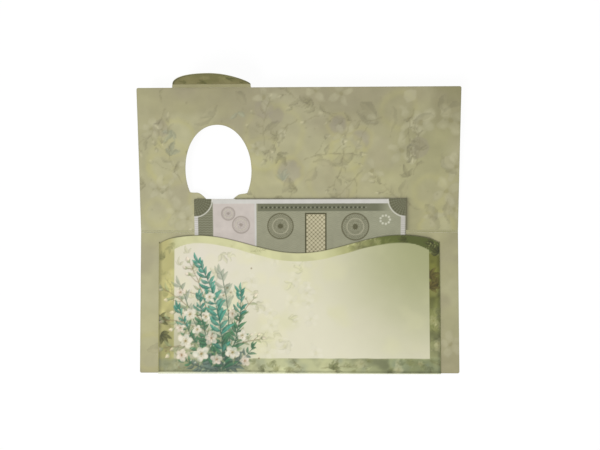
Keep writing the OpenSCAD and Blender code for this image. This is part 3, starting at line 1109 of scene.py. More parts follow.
@dataclass
class Pocket:
    """The pocket: one sheet from the back panel's bottom edge, round the fold and up to the waved lip."""

    label: LabelField = field(default_factory=LabelField)
    lining: Colour = (172, 169, 134)
    height: float = 91.0
    calm_x: Point = (-8.0, 87.0)
    fine: float = 0.42
    coarse: float = 0.95
    row: float = 0.47
    turns: int = 8
    every: int = 4

    def build(self) -> bpy.types.Object:
        """Makes the sheet.

        The outer face follows the bottom fold's half round and then the flat front, in rows that stretch to
        the lip. The inner face has one row for each few of those, and the side walls join the two.
        """
        start, end = self.calm_x
        xs = lines(even(-CARD.front_half, start, self.fine), even(start, end, self.coarse),
                   even(end, CARD.front_half, self.fine))
        turn = np.radians(np.linspace(-90, 90, self.turns + 1))
        rows = int(self.height / self.row / self.every) * self.every
        share = np.linspace(0, 1, rows + 1)[1:]
        outer = self._face(xs, CARD.fold_r, CARD.front_z + CARD.thick, turn, share)
        inner = self._face(xs, CARD.fold_r - CARD.thick, CARD.front_z, turn[:: self.every],
                           share[self.every - 1:: self.every])
        faces, part = self._closed(len(outer), len(inner), xs.size)
        points = np.concatenate([outer.reshape(-1, 3), inner.reshape(-1, 3)]) * MM
        plain = np.tile(np.array(self.lining, float), (len(inner) * xs.size, 1))
        colours = np.concatenate([self.front_print_and_shade(outer), plain])
        piece = make_object("pocket_sheet", points, faces, part, colours, (FACE, EDGE), sharp=50.0)
        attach(piece, Body.ROOT.value)
        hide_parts("pocket_front", "pocket_bottom_fold")
        return piece

    @staticmethod
    def _face(xs: Array, r: float, z: float, turns: Array, shares: Array) -> Array:
        """Works out one face of the sheet.

        Args:
            xs: Places of the columns on the flat front.
            r: Radius of the arc about the bottom fold's middle.
            z: Height of the flat front.
            turns: Angle of each row on the arc.
            shares: Place of each row between the fold and the lip, from 0 to 1.

        Returns:
            Rows of points: the arc, r times the cosine and sine of its angle, and then the front.
        """
        cy, wide = CARD.back_low, xs / CARD.front_half * CARD.fold_half
        swung = turns[:, None] + 0 * xs
        arc = np.stack([wide + 0 * swung, cy - r * np.cos(swung), CARD.fold_r + r * np.sin(swung)], -1)
        y = cy + shares[:, None] * (lip_height(xs) - cy)
        pull = smooth((y - cy) / 1.4)
        front = np.stack([wide * (1 - pull) + xs * pull, y, np.full(y.shape, z)], -1)
        return np.concatenate([arc, front])

    def _closed(self, big: int, small: int, cols: int) -> tuple[list[list[int]], Array]:
        """Joins the outer and the inner face into a closed sheet.

        Args:
            big: Rows of the outer face.
            small: Rows of the inner face.
            cols: Columns of both.

        Returns:
            The corner numbers of every face, and the number of each face's finish.
        """
        n = np.arange(big * cols).reshape(big, cols)
        m = big * cols + np.arange(small * cols).reshape(small, cols)
        over = grid_quads(big, cols)
        under = big * cols + np.roll(grid_quads(small, cols)[:, ::-1], 1, axis=1)
        ends = np.concatenate([np.stack([n[0, 1:], n[0, :-1], m[0, :-1], m[0, 1:]], 1),
                               np.stack([n[-1, :-1], n[-1, 1:], m[-1, 1:], m[-1, :-1]], 1)])
        sides = []
        for k in range(small - 1):
            run = slice(k * self.every, (k + 1) * self.every + 1)
            sides.append(n[run, 0].tolist() + [int(m[k + 1, 0]), int(m[k, 0])])
            sides.append(n[run, -1][::-1].tolist() + [int(m[k, -1]), int(m[k + 1, -1])])
        faces = over.tolist() + under.tolist() + ends.tolist() + sides
        return faces, np.repeat([0, 1], [len(over) + len(under), len(ends) + len(sides)])

    def front_print_and_shade(self, outer: Array) -> Array:
        """Paints the border, the pale field, the leafy spray, painted shade at the edges, and the fold's pale
        line of wear and painted highlight.
        """
        x, y, _ = outer.reshape(-1, 3).T
        sheet = Print(x, y, (170, 172, 122), 0.35, 3)
        self._border(sheet)
        self._field(sheet, soft_edge(self.label.depth(x, y), 0, 0.3))
        self._spray(sheet)
        lip, side = lip_height(x) - y, CARD.front_half - np.abs(x)
        # Painted shade darkens the border towards the two folded sides.
        sheet.shade(smooth(1.15 - side / 2.4) * rise(y, 44, -2), 0.84)
        # A dark line along the lip: painted shade of its edge.
        sheet.wash(0.55 * smooth(1 - lip / 0.5), (108, 104, 78))
        edge_shade_and_wear(sheet, np.minimum(lip, side) * 1.3, 17)
        # Along the bottom fold: a line of painted shade above it, and on it a pale line, partly wear of the
        # paper and partly painted highlight.
        fold_line = CARD.back_low + 0.1 + 0.6 * rise(x, 50, -100)
        sheet.shade(bell(y - fold_line, 0.8, 0.6), 0.84)
        sheet.wash(0.9 * smooth((fold_line - y) / 0.3), (226, 228, 202))
        return sheet.rgb

    def _border(self, sheet: Print) -> None:
        """Paints the border's ground, dark at the upper right, with leaves and blossoms in olive tones."""
        x, y = sheet.x, sheet.y
        left, side, foot = rise(x, -86, -5), rise(x, 88, 4), rise(y, -37, -4)
        band = smooth((y - self.label.top(x) + 3) / 3)
        sheet.washes(
            (left, (180, 174, 117)),
            (left * rise(y, -8, -20), (156, 153, 98)),
            (side, (106, 107, 50)),
            (side * rise(y, 12, -20), (126, 130, 76)),
            (side * rise(y, -10, -26), (141, 143, 100)),
            (band * rise(x, -95, 12), (207, 206, 158)),
            (band * rise(x, 14, 25), (163, 163, 111)),
            (band * rise(x, 40, 22), (82, 89, 43)),
            (foot * rise(x, -92, 12), (186, 188, 144)),
            (foot * bell(x, -70, 21), (126, 130, 94)),
            (foot * rise(x, 12, 70), (131, 137, 96)))
        calm = 1 - 0.8 * band * (1 - rise(x, 20, 30))
        sheet.shade(calm * patches(x, y, 9, 31, 3.4, 1.8), 0.8)
        sheet.shade(calm * patches(x, y, 10, 37, 3.4, 1.8), 1.13)
        sheet.wash(foot * 0.45 * patches(x, y, 12, 47, 3.6, 1.9), (122, 132, 118))
        for box, count, seed, weight in (
                ((-98, -90, -48, 36), 12, 5, 0.34), ((92, 99, -48, 10), 20, 9, 0.55),
                ((-95, 95, -49, -41), 64, 13, 0.5), ((34, 62, 36, 47), 14, 21, 0.45),
                ((-96, 15, 36, 47), 12, 27, 0.3)):
            olive_scatter(sheet, box, count, seed, weight, 0.75)
        for place, angle, size, tone in (
                ((-99, -14), 40, 9, BARK_LEAF), ((-98, -23), 325, 9, BARK_LEAF), ((92, 17), 40, 9, RUSSET),
                ((98, 12), 140, 9, RUSSET), ((92, 10), 20, 8, RUSSET), ((24, -47), 70, 7, DARK_LEAF),
                ((95, 42), 190, 7, BARK_LEAF), ((99, 35), 130, 8, BARK_LEAF), ((76, 45), 190, 7, BARK_LEAF),
                ((96, -20), 80, 6, OLIVE_LEAF)):
            sheet.cluster(place, angle, size, tone, 4)
        rng = np.random.default_rng(61)
        for k in range(40):
            at = rng.uniform(34, 54) if k % 3 else rng.uniform(90, 98)
            far = at > 80
            height = 41.5 - 4.2 * math.cos(2 * math.pi * at / LIP.wave) + rng.uniform(-2, 2) - 4 * far
            sheet.spot(at, height, 0.4, (148, 152, 96) if far else (206, 204, 156), 0.6, 0.5)

    def _field(self, sheet: Print, inside: Array) -> None:
        """Paints the pale field: cream that turns to sage towards its upper right, with faint flowers.

        The sage's share is a smooth step of 1 - (distance - 5)/100 to the power 1.15, where that distance
        counts heights at 0.8.
        """
        x, y = sheet.x, sheet.y
        away = np.hypot(92 - x, 0.8 * (48 - y))
        sage = smooth(1 - (away - 5) / 100) ** 1.15
        ghost = Print(x, y, (221, 217, 192), 1.2, 43)
        ghost.washes(
            (sage, (163, 165, 122)),
            (patches(x, y, 17, 51, 3.2, 1.5) * 0.5 * (1 - sage), (214, 212, 168)),
            (patches(x, y, 24, 57, 3, 1.6) * 0.35 * (1 - sage), (213, 207, 183)),
            (bell(np.hypot(x + 70, y - 26), 0, 26) * 0.8, (224, 217, 204)),
            (bell(x, -84, 36) * rise(y, 8, -44) * 0.85, (176, 173, 141)))
        rng = np.random.default_rng(43)
        pale = BlossomTone((228, 224, 204), (200, 196, 156), (206, 203, 170), 0.4)
        dim = LeafTone((190, 190, 146), (202, 200, 158), (214, 212, 178), 0.42)
        for k in range(80):
            cx, cy = rng.uniform(-86, 12), rng.uniform(-38, 38)
            turn, size = rng.uniform(0, 360), rng.uniform(0.7, 1.4)
            if k % 3 == 0:
                ghost.blossom(cx, cy, 5.0 * size, turn, pale, 5, 0.36)
            elif k % 3 == 1:
                ghost.cluster((cx, cy), turn, 7 * size, dim, 3)
            else:
                ghost.spot(cx, cy, 5 * size, (226, 222, 182), 0.3, 4.0)
        sheet.wash(inside, ghost.rgb)

    def _spray(self, sheet: Print) -> None:
        """Paints the spray: fronds that fan out from the foot, twigs with buds and cream blossoms."""
        rng = np.random.default_rng(97)
        for cx, cy, r, colour, strength in (
                (-58, -36, 18, (148, 160, 134), 0.45), (-73, -27, 11, (178, 174, 144), 0.4),
                (-46, -30, 12, (178, 186, 156), 0.35), (-57, -47, 9, (104, 118, 100), 0.5),
                (-60, -8, 15, (196, 204, 178), 0.3), (-76, -8, 8, (198, 192, 168), 0.35)):
            sheet.spot(cx, cy, r, colour, strength, r * 1.1)
        for foot, angle, length in (((-62, -22), 152, 36), ((-68, -14), 128, 38), ((-58, -30), 174, 38),
                                    ((-50, -24), 62, 32), ((-66, -4), 100, 34), ((-54, -34), 28, 28)):
            sheet.branch(foot, angle, length, TWIG, SAGE_LEAF, (228, 214, 190), rng)
        deep, middle = (SLATE, SLATE, EMERALD), (SLATE, EMERALD, EMERALD, TEAL)
        bright = (EMERALD, TEAL, TEAL, TEAL)
        for path, pairs, length, width, tones in (
                (bezier((-58, -48), (-68, -30), (-84, 12)), 12, (11, 7), (3.4, 2.2), (SHADOW_LEAF,)),
                (bezier((-50, -48), (-47, -10), (-55, 20)), 14, (12, 7), (3.8, 2.4), (SHADOW_LEAF,)),
                (bezier((-55, -48), (-69, -47), (-80, -41)), 8, (8, 5), (2.8, 1.7), deep),
                (bezier((-53, -48), (-42, -45), (-33, -32)), 8, (8, 5), (2.6, 1.6), deep),
                (bezier((-55, -47), (-74, -34), (-85, -4)), 15, (10, 6), (3.0, 1.8), middle),
                (bezier((-53, -47), (-40, -22), (-41, 8)), 16, (10, 6), (3.0, 1.8), middle),
                (bezier((-56, -47), (-70, -20), (-70, 4)), 15, (9, 5.5), (3.0, 1.8), middle),
                (bezier((-54, -48), (-52, -6), (-71, 29)), 21, (12, 6.5), (3.6, 2.1), bright)):
            sheet.frond(path, pairs, length, width, tones, (58, 84, 62))
        for cx, cy, r, turn, tone in (
                (-80, -27, 5.4, 10, CREAM), (-69, -36, 5.8, 40, CREAM), (-83, -37, 4.4, 70, BLUSH),
                (-62, -25, 4.8, 25, BLUSH), (-47, -35, 5.0, 55, CREAM), (-40, -23, 3.8, 5, CREAM),
                (-77, -8, 4.6, 33, CREAM), (-58, -40, 4.0, 15, BLUSH), (-66, -10, 3.3, 50, CREAM),
                (-47, -8, 3.3, 62, BLUSH), (-63, 4, 3.6, 20, CREAM), (-38, -41, 3.6, 30, BLUSH),
                (-84, 7, 3.2, 8, BLUSH), (-72, -19, 3.4, 66, CREAM), (-84, -18, 3.2, 27, BLUSH)):
            for side in (-140, -35, 75):
                sheet.leaf((cx, cy), turn + side, r * 1.6, r * 0.5, SAGE_LEAF)
            sheet.blossom(cx, cy, r, turn, tone)
        for _ in range(90):
            cx, cy = rng.normal(-64, 18), rng.normal(-16, 20)
            if -97 < cx < -4 and -47 < cy < 34:
                size, pollen = rng.uniform(0.3, 0.7), rng.random() < 0.6
                sheet.spot(cx, cy, size, (232, 226, 204) if pollen else TWIG, 0.6, 0.5)


@dataclass
class Cover:
    """The cover: a tensor grid with a ring of quads round its window, and a hollow bow of 0.3 mm."""

    hinges: Hinges
    step: float = 0.78
    window_x: float = -56.45
    window_d: float = 42.7
    oval: Point = (23.3, 31.7)
    plump: Point = (0.945, 1.0)
    shoulder: float = -16.05
    lean: Point = (0.4, 0.75)
    corner: Point = (0.52, -0.1)
    throat: float = 15.5
    arch: float = 10.9
    swell: Point = (1.86, 1.66)
    fillet: float = 0.6
    box_x: Point = (-86.0, -27.0)
    box_d: Point = (11.0, 80.0)
    tab_x: Point = (-87.6, -32.8)
    rings: int = 14
    bow: float = 0.3
    slip_left: float = -72.0
    slip_right: float = 75.8
    slip_top: float = 22.6

    def outline(self) -> Array:
        """Returns the window's outline about its middle.

        The oval lies above its shoulders, and below them lies the pointed arch, at heights of
        shoulder - arch cos(90|u|)^swell. The oval's upper quarters are fuller than an ellipse's: their sine
        and cosine are raised to plump. The shoulders lean: at u half throats from the middle they lie lean
        times u lower, and they meet the oval at corner's heights above them. The whole is walked in even
        steps and each point becomes the mean of its neighbours, twice, which rounds the inner corners.
        """
        ends = [math.asin((self.shoulder + above) / self.oval[1]) for above in self.corner[::-1]]
        a = np.linspace(ends[0], math.pi - ends[1], 700)
        power = np.where(np.sin(a) > 0, np.where(np.cos(a) > 0, self.plump[1], self.plump[0]), 1.0)
        oval = np.stack([size * np.sign(part) * np.abs(part) ** power
                         for size, part in zip(self.oval, (np.cos(a), np.sin(a)))], 1)
        u = np.linspace(-1, 1, 500)
        hump = np.cos(np.radians(90 * np.abs(u))) ** np.where(u > 0, self.swell[1], self.swell[0])
        lean = np.where(u > 0, self.lean[1], self.lean[0])
        arch = np.stack([self.throat * u, self.shoulder - lean * u - self.arch * hump], 1)
        left = np.linspace(oval[-1], arch[0], 40)[1:-1]
        right = np.linspace(arch[-1], oval[0], 40)[1:-1]
        ring = np.concatenate([oval, left, arch, right, oval[:1]])
        along = np.concatenate([[0], np.cumsum(np.hypot(*np.diff(ring, axis=0).T))])
        pace = 0.1
        stops = np.linspace(0, along[-1], int(along[-1] / pace), endpoint=False)
        walked = np.stack([np.interp(stops, along, ring[:, k]) for k in (0, 1)], 1)
        reach = int(self.fillet / pace)
        for _ in range(2):
            walked = np.mean([np.roll(walked, k, axis=0) for k in range(-reach, reach + 1)], axis=0)
        return walked

    def window_reach(self, angle: Array) -> Array:
        """Returns the distance from the window's middle to its outline at each angle."""
        dense = self.outline()
        turn = np.arctan2(dense[:, 1], dense[:, 0])
        order = turn.argsort()
        return np.interp(angle, turn[order], np.hypot(*dense[order].T), period=2 * np.pi)

    def flat(self) -> FlatMesh:
        """Returns the flat mesh: a grid round a box, and rings that pass from the box to the window."""
        half, top = CARD.width / 2, CARD.cover_h
        mid = even(*self.box_x, self.step)
        mid[np.abs(mid - self.tab_x[1]).argmin()] = self.tab_x[1]
        xs = lines(even(-half, self.tab_x[0], self.step), even(self.tab_x[0], self.box_x[0], self.step), mid,
                   even(self.box_x[1], half, self.step), side_columns())
        ds = lines(even(CARD.gap, self.box_d[0], self.step), even(*self.box_d, self.step),
                   even(self.box_d[1], top - CARD.corner, self.step), top - corner_rows(),
                   np.array([top - CARD.gap]))
        x, d = np.meshgrid(xs, ds)
        grid = FlatMesh.grid(rounded_corner(x, d - (top - CARD.corner)), d)
        cx, cd = grid.points[grid.quads].mean(1).T
        window = (cx > self.box_x[0]) & (cx < self.box_x[1]) & (cd > self.box_d[0]) & (cd < self.box_d[1])
        notch = (cx > self.tab_x[0]) & (cx < self.tab_x[1]) & (cd > top - CARD.gap)
        hair = 1e-6
        bx = xs[(xs >= self.box_x[0] - hair) & (xs <= self.box_x[1] + hair)]
        bd = ds[(ds >= self.box_d[0] - hair) & (ds <= self.box_d[1] + hair)]
        sides = ((bx, bd[0]), (bx[-1], bd), (bx[::-1], bd[-1]), (bx[0], bd[::-1]))
        loop = np.concatenate([np.column_stack(np.broadcast_arrays(*side))[:-1] for side in sides])
        middle = np.array([self.window_x, self.window_d])
        want = np.arctan2(loop[:, 1] - middle[1], loop[:, 0] - middle[0])
        hole = self.window_reach(want)[:, None] * np.stack([np.cos(want), np.sin(want)], 1)
        t = (np.arange(self.rings + 1) / self.rings)[:, None, None] ** 1.25
        ring = (hole + middle)[None] * (1 - t) + loop[None] * t
        ring = np.concatenate([ring, ring[:, :1]], 1)
        polar = FlatMesh.grid(ring[..., 0], ring[..., 1])
        polar.quads = polar.quads[:, ::-1]
        return FlatMesh.joined([grid.without(window | notch), polar])

    def sag(self, d: Array) -> Array:
        """Returns the bow of the cover away from the pocket: -bow sin(pi d / h)^1.5."""
        return -self.bow * np.sin(np.pi * np.clip(d / CARD.cover_h, 0, 1)) ** 1.5

    def build(self) -> bpy.types.Object:
        """Makes the cover's sheet on the frame's cover."""
        flat = self.flat()
        x, d = flat.points.T
        rx, rd = x - self.window_x, d - self.window_d
        hole = np.hypot(rx, rd) - self.window_reach(np.arctan2(rd, rx))
        reach = np.minimum.reduce([CARD.width / 2 - np.abs(x), CARD.cover_h - d, np.maximum(hole, 0)])
        inner = shaded_worn_print(x, d, lining_print_and_shade(x, d + CARD.open_spine, seed=23, busy=1.0), reach, seed=7)
        # Painted shadow of the slip on the cover beside its right edge and above its top edge.
        beside, above = x - self.slip_right, d - self.slip_top
        slip_shadow = np.exp(-np.maximum(beside, 0) / 1.35 - np.maximum(above, 0) / 0.7) * (x > self.slip_left)
        inner.shade(slip_shadow * np.where(beside > 0, 0.46, 0.32), 0.0)
        outer = shaded_worn_print(x, d, outside_print(x, d, seed=83), reach, seed=8)
        skins = self.hinges.cover_place().skins(x, d, self.sag(d))
        piece = Sheet("cover_sheet", flat, *skins, inner.rgb, outer.rgb).build(FACE, EDGE)
        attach(piece, Body.COVER.value)
        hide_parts("cover_panel")
        return piece


@dataclass
class TuckTongue:
    """The half oval tongue beyond the strip, fuller at its left end and bent a little at its right end."""

    hinges: Hinges
    stand: float = math.radians(68.0)
    half: float = 27.4
    length: float = 18.0
    strip: float = 2.4
    bend: float = 0.1
    skew: float = 0.14

    def build(self) -> bpy.types.Object:
        """Makes the tongue: rows at angles a of the ellipse, x = u half cos a and v = length sin a - strip.

        Its height is then skewed by 1 - skew u|u|, and its right half bends out by bend u^2 (v - 0.3) above
        v = 0.3.
        """
        low = math.asin((self.strip + CARD.gap) / self.length)
        a = np.concatenate([np.linspace(low, math.radians(80), 30), np.radians([82, 84, 86, 87.5, 88.6])])
        x = self.half * np.cos(a)[:, None] * np.linspace(-1, 1, 91)
        v = np.broadcast_to((self.length * np.sin(a) - self.strip)[:, None], x.shape)
        flat = FlatMesh.grid(x, v)
        px, pv = flat.points.T
        u = px / self.half
        bend = self.bend * np.maximum(u, 0) ** 2 * np.maximum(pv - 0.3, 0)
        tall = pv * (1 - self.skew * u * np.abs(u))
        rim = self.length * (1 - np.hypot(u, (pv + self.strip) / self.length))
        inner = self._inner_print_and_shade(px, pv, rim)
        outer = shaded_worn_print(px, pv, outside_print(px, pv + 30, seed=91), rim, seed=9)
        skins = self.hinges.tongue_place(self.stand).skins(px, tall, bend)
        piece = Sheet("tongue_sheet", flat, *skins, inner.rgb, outer.rgb).build(FACE, EDGE)
        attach(piece, Body.TONGUE.value)
        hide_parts("tab_tongue")
        return piece

    @staticmethod
    def _inner_print_and_shade(x: Array, v: Array, rim: Array) -> Print:
        """Paints the side that shows in the open folder: dark olive, partly print and partly painted shade,
        with faint leaves and a rim darkened as painted shade.
        """
        # The dark olive ground, darker towards the tip and lighter at the foot, is partly print and partly
        # painted shade of the steep tongue.
        sheet = Print(x, v, (122, 117, 79), 0.5, 29)
        sheet.washes(
            (0.5 * rise(v, 6, 10), (114, 112, 74)),
            (0.6 * rise(v, 7, -6), (132, 127, 90)),
            (0.5 * patches(x, v, 9, 61, 3, 1.4), (116, 114, 72)),
            (0.35 * patches(x, v, 7, 67, 3, 1.6), (142, 134, 94)))
        olive_scatter(sheet, (-26, 26, 0, 16), 12, 33, 0.22)
        for at, angle, size in (((-4, 4), 200, 6), ((12, 7), 20, 6), ((-17, 3), 160, 5), ((21, 2), 60, 4)):
            sheet.cluster(at, angle, size, fainter(BARK_LEAF, 0.5), 3)
        # The dark rim: painted shade of the cut edge.
        sheet.wash(0.85 * smooth(1 - rim / 1.2), (72, 74, 54))
        return sheet


@dataclass
class GiftSlip:
    """The paper slip: one sheet in two pieces that meet on the spine, each bending over its own crease."""

    hinges: Hinges
    half: float = 75.0
    shift: float = 0.85
    tucked: float = 41.9
    hidden: float = 16.0
    out: float = 22.6
    thick: float = 0.2
    corner: float = 0.8
    bend: float = 0.5
    spine: float = 1.5
    grid: float = 0.35

    def ink(self, x: Array, s: Array) -> Array:
        """Paints the slip's print: pale stock with bands, a lattice panel, rosettes and corner fans, and
        painted shade along its top and right edges.

        Args:
            x: Places across, in the frame.
            s: Distance below the slip's top edge.

        Returns:
            The sRGB colours.
        """
        sheet = Print(x, -s, (203, 201, 194))
        own = x - self.shift
        self._ground(sheet, x, s, (x > -71.4) & (own < 71.2) & (s > 3.4))
        for cx, cs, r, petals in ((-13, 19.5, 9.0, 16), (40, 20.0, 9.5, 16), (-50, 10.5, 4.6, 10),
                                  (-41, 18.5, 6.0, 12)):
            self._rosette(sheet, s, cx, cs, r, petals)
        for k in range(25):
            sheet.spot(-26 + 3.0 * k, -6.2, 0.8, (70, 72, 56), 0.85, 0.4)
            sheet.spot(-24.5 + 3.0 * k, -6.2, 0.35, (170, 170, 150), 0.7, 0.4)
        for k in range(9):
            a = math.radians(40 * k)
            sheet.spot(61 + 3.4 * math.cos(a), -15 + 3.0 * math.sin(a), 0.8, (206, 205, 186), 0.85, 0.5)
        self._corners(sheet, own, s)
        for side, edge, tone in ((-1, 71.5, (205, 202, 196)), (1, 71.2 + self.shift, (194, 191, 182))):
            margin = soft_edge(side * x, edge, 0.4) * rise(s, 12, 1)
            sheet.wash(margin, tone)
            sheet.wash(margin * 0.5 * smooth(np.sin(s * 4.2) * 2), (168, 165, 156))
        # A dark line along the top edge, away from the window, and along the right edge: painted shade.
        beside_window = rise(np.abs(x + 56.9), 11.5, 1)
        right = smooth((own - self.half + 0.9) / 0.4) * rise(s, 1, 1)
        sheet.wash(0.75 * np.maximum(rise(s, 0.55, -0.3) * beside_window, right), (112, 110, 88))
        sheet.mottle(4.0, 0.03, 77)
        return sheet.rgb

    def _ground(self, sheet: Print, x: Array, s: Array, inside: Array) -> None:
        """Paints the tinted ground inside the margins, the upper band, the left strip and the lattice."""
        panel_field = soft_edge(x, -30, 0.5) * inside
        sheet.washes(
            (panel_field, (157, 156, 133)),
            (panel_field * rise(x, 18, 40), (158, 158, 135)),
            (rise(x, -31, -0.6) * soft_edge(x, -60.8, 0.6) * inside, (198, 189, 181)))
        self._ground_waves(sheet, x, s, panel_field)
        band = soft_edge(s, 8.8, -0.4) * rise(x, -29.4, 0.5) * rise(x, 66, -12) * inside
        strip = soft_edge(x, -60.9, -0.4) * soft_edge(x, -71.6, 0.4) * (s > 2.5)
        lattice = np.abs(np.sin((x + s) * 1.05)) * np.abs(np.sin((x - s) * 1.05))
        core = soft_edge(np.abs(x - 12), 6.6, -0.3) * (s > 11.2)
        sheet.washes(
            (band, (113, 114, 93)),
            (strip, (118, 118, 96)),
            (strip * 0.4 * smooth(np.sin(s * 3.6 + np.sin(x * 2.4)) * 2), (158, 158, 138)),
            (soft_edge(np.abs(x - 12), 7.6, -0.3) * (s > 10.2), (84, 82, 60)),
            (core, (190, 183, 152)),
            (core * 0.8 * smooth(1 - lattice * 3.2), (100, 94, 70)))

    @staticmethod
    def _ground_waves(sheet: Print, x: Array, s: Array, mask: Array) -> None:
        """Paints fine waves where the sine of 3.4 s + 1.6 sin(0.5 x) crosses zero, and a mirror set."""
        for sign in (-1, 1):
            phase = np.sin(3.4 * s + sign * 1.6 * np.sin(0.5 * x))
            sheet.wash(0.3 * mask * bell(phase, 0, 0.45), (112, 113, 88))

    @staticmethod
    def _rosette(sheet: Print, s: Array, cx: float, cs: float, r: float, petals: int) -> None:
        """Paints an engraved rosette: rings whose lines swing with the angle, petals times around."""
        i = sheet.near(cx, -cs, r + 1)
        rho, turn = np.hypot(sheet.x[i] - cx, s[i] - cs), np.arctan2(s[i] - cs, sheet.x[i] - cx)
        tone = (80, 78, 56) if cx > -30 else (150, 140, 130)
        disc = smooth((r - rho) / 0.6)
        sheet.wash(0.06 * disc, tone, i)
        for shift in (0.0, math.pi):
            line = np.sin(1.9 * rho + 1.3 * np.cos(petals * turn + shift))
            sheet.wash(0.55 * disc * bell(line, 0, 0.32), tone, i)
        sheet.ring(cx, -cs, r, 0.8, tone, 0.8)
        sheet.ring(cx, -cs, 0.62 * r, 0.6, (196, 192, 168), 0.6)
        sheet.spot(cx, -cs, r * 0.2, tone, 0.7, 0.6)

    def _corners(self, sheet: Print, x: Array, s: Array) -> None:
        """Paints the two dark fans in the upper corners, with rays and a pale rim."""
        for side in (-1, 1):
            end = side * self.half
            rho, ray = np.hypot(x - end, s), np.arctan2(s, np.abs(end - x))
            fan = rise(rho, 12.6, -0.4)
            sheet.washes(
                (fan, (104, 104, 82)),
                (fan * 0.55 * smooth(np.cos(ray * 34) * 1.5), (136, 136, 112)),
                (fan * 0.5 * bell(np.sin(rho * 1.9), 0, 0.4), (84, 84, 64)),
                (bell(rho, 13.0, 0.35), (214, 212, 200)))

    def _piece(self, name: str, rows: Array, down: Array, places: tuple[Place, Place],
               node: str) -> bpy.types.Object:
        """Makes one piece of the slip.

        A point at distance t along the sheet lies on the first place before the crease and on the second
        after it, and passes smoothly between the two within the bend.

        Args:
            name: Name of the piece.
            rows: Distances of the rows from the crease, in millimetres.
            down: Distance of each row below the slip's top edge.
            places: Axes before the crease and after it.
            node: The solid that it stands for.

        Returns:
            The piece.
        """
        x, t = np.meshgrid(even(-self.half, self.half, self.grid), rows)
        s = np.broadcast_to(down[:, None], x.shape)
        into = np.clip(self.corner - s, 0, self.corner)
        drawn = self.corner - np.sqrt(np.maximum(self.corner**2 - into**2, 0))
        flat = FlatMesh.grid(x - np.sign(x) * smooth(np.abs(x) - self.half + 1) * drawn, t)
        px, pt = flat.points.T
        px = px + self.shift
        share = smooth((pt + self.bend) / (2 * self.bend))[:, None]

        def level(n: float) -> Array:
            """Returns the points at height n over the slip's underside, which rests on the card."""
            before, after = (place.at(px, pt, CARD.thick / 2 + n) for place in places)
            return before * (1 - share) + after * share

        colour = self.ink(px, s.ravel())
        back = colour * 0.35 + np.array([205.0, 203, 192]) * 0.65
        piece = Sheet(name, flat, level(self.thick), level(0.0), colour, back).build(PAPER, PAPER_EDGE)
        start, end = (place.at(0.0, along, 0.0) * MM for place, along in zip(places, (-self.bend, self.bend)))
        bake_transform(piece)
        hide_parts(node)
        return piece

    def build(self) -> list[bpy.types.Object]:
        """Makes the tucked piece and the raised piece."""
        spine, cover = self.hinges.spine_place(), self.hinges.cover_place()
        table, ridge = Place(spine.origin, 0.0), Place(cover.origin, spine.tilt)
        bent, mid = even(-self.bend, self.bend, 0.1), self.spine / 2
        low = lines(even(-self.tucked, -self.hidden, 1.5), even(-self.hidden, -self.bend, self.grid), bent,
                    np.array([mid]))
        high = lines(np.array([-mid]), bent, even(self.bend, self.out - self.corner, self.grid),
                     self.out - self.corner + self.corner * np.sin(np.radians([0, 30, 60, 90])))
        lower = self._piece("slip_lower", low, self.out + self.spine - low, (table, spine),
                            "slip_tucked_part")
        upper = self._piece("slip_upper", high, self.out - high, (ridge, cover),
                            "slip_raised_part")
        return [lower, upper]


@dataclass
class SmallParts:
    """The solids that stay as they are and get their finish here: creases, folds, flaps and glue."""

    nodes: dict[str, bpy.types.Object]

    def dress(self) -> None:
        """Gives each of these solids its material."""
        plan = {
            "spine_lower_crease": SCORE, "spine_strip": PLAIN, "spine_upper_crease": SCORE,
            "tab_base_crease": TAB_SCORE, "tab_strip": TAB, "tongue_crease": TURN,
            "left_side_fold": LEFT_FOLD, "right_side_fold": RIGHT_FOLD,
            "left_glue_flap": LINING, "right_glue_flap": LINING,
            "left_glue_strip": GLUE, "right_glue_strip": GLUE,
        }
        for name, finish in plan.items():
            for held in self.nodes[name].material_slots:
                held.material = finish.material()
            log.info("dressed %s", name)


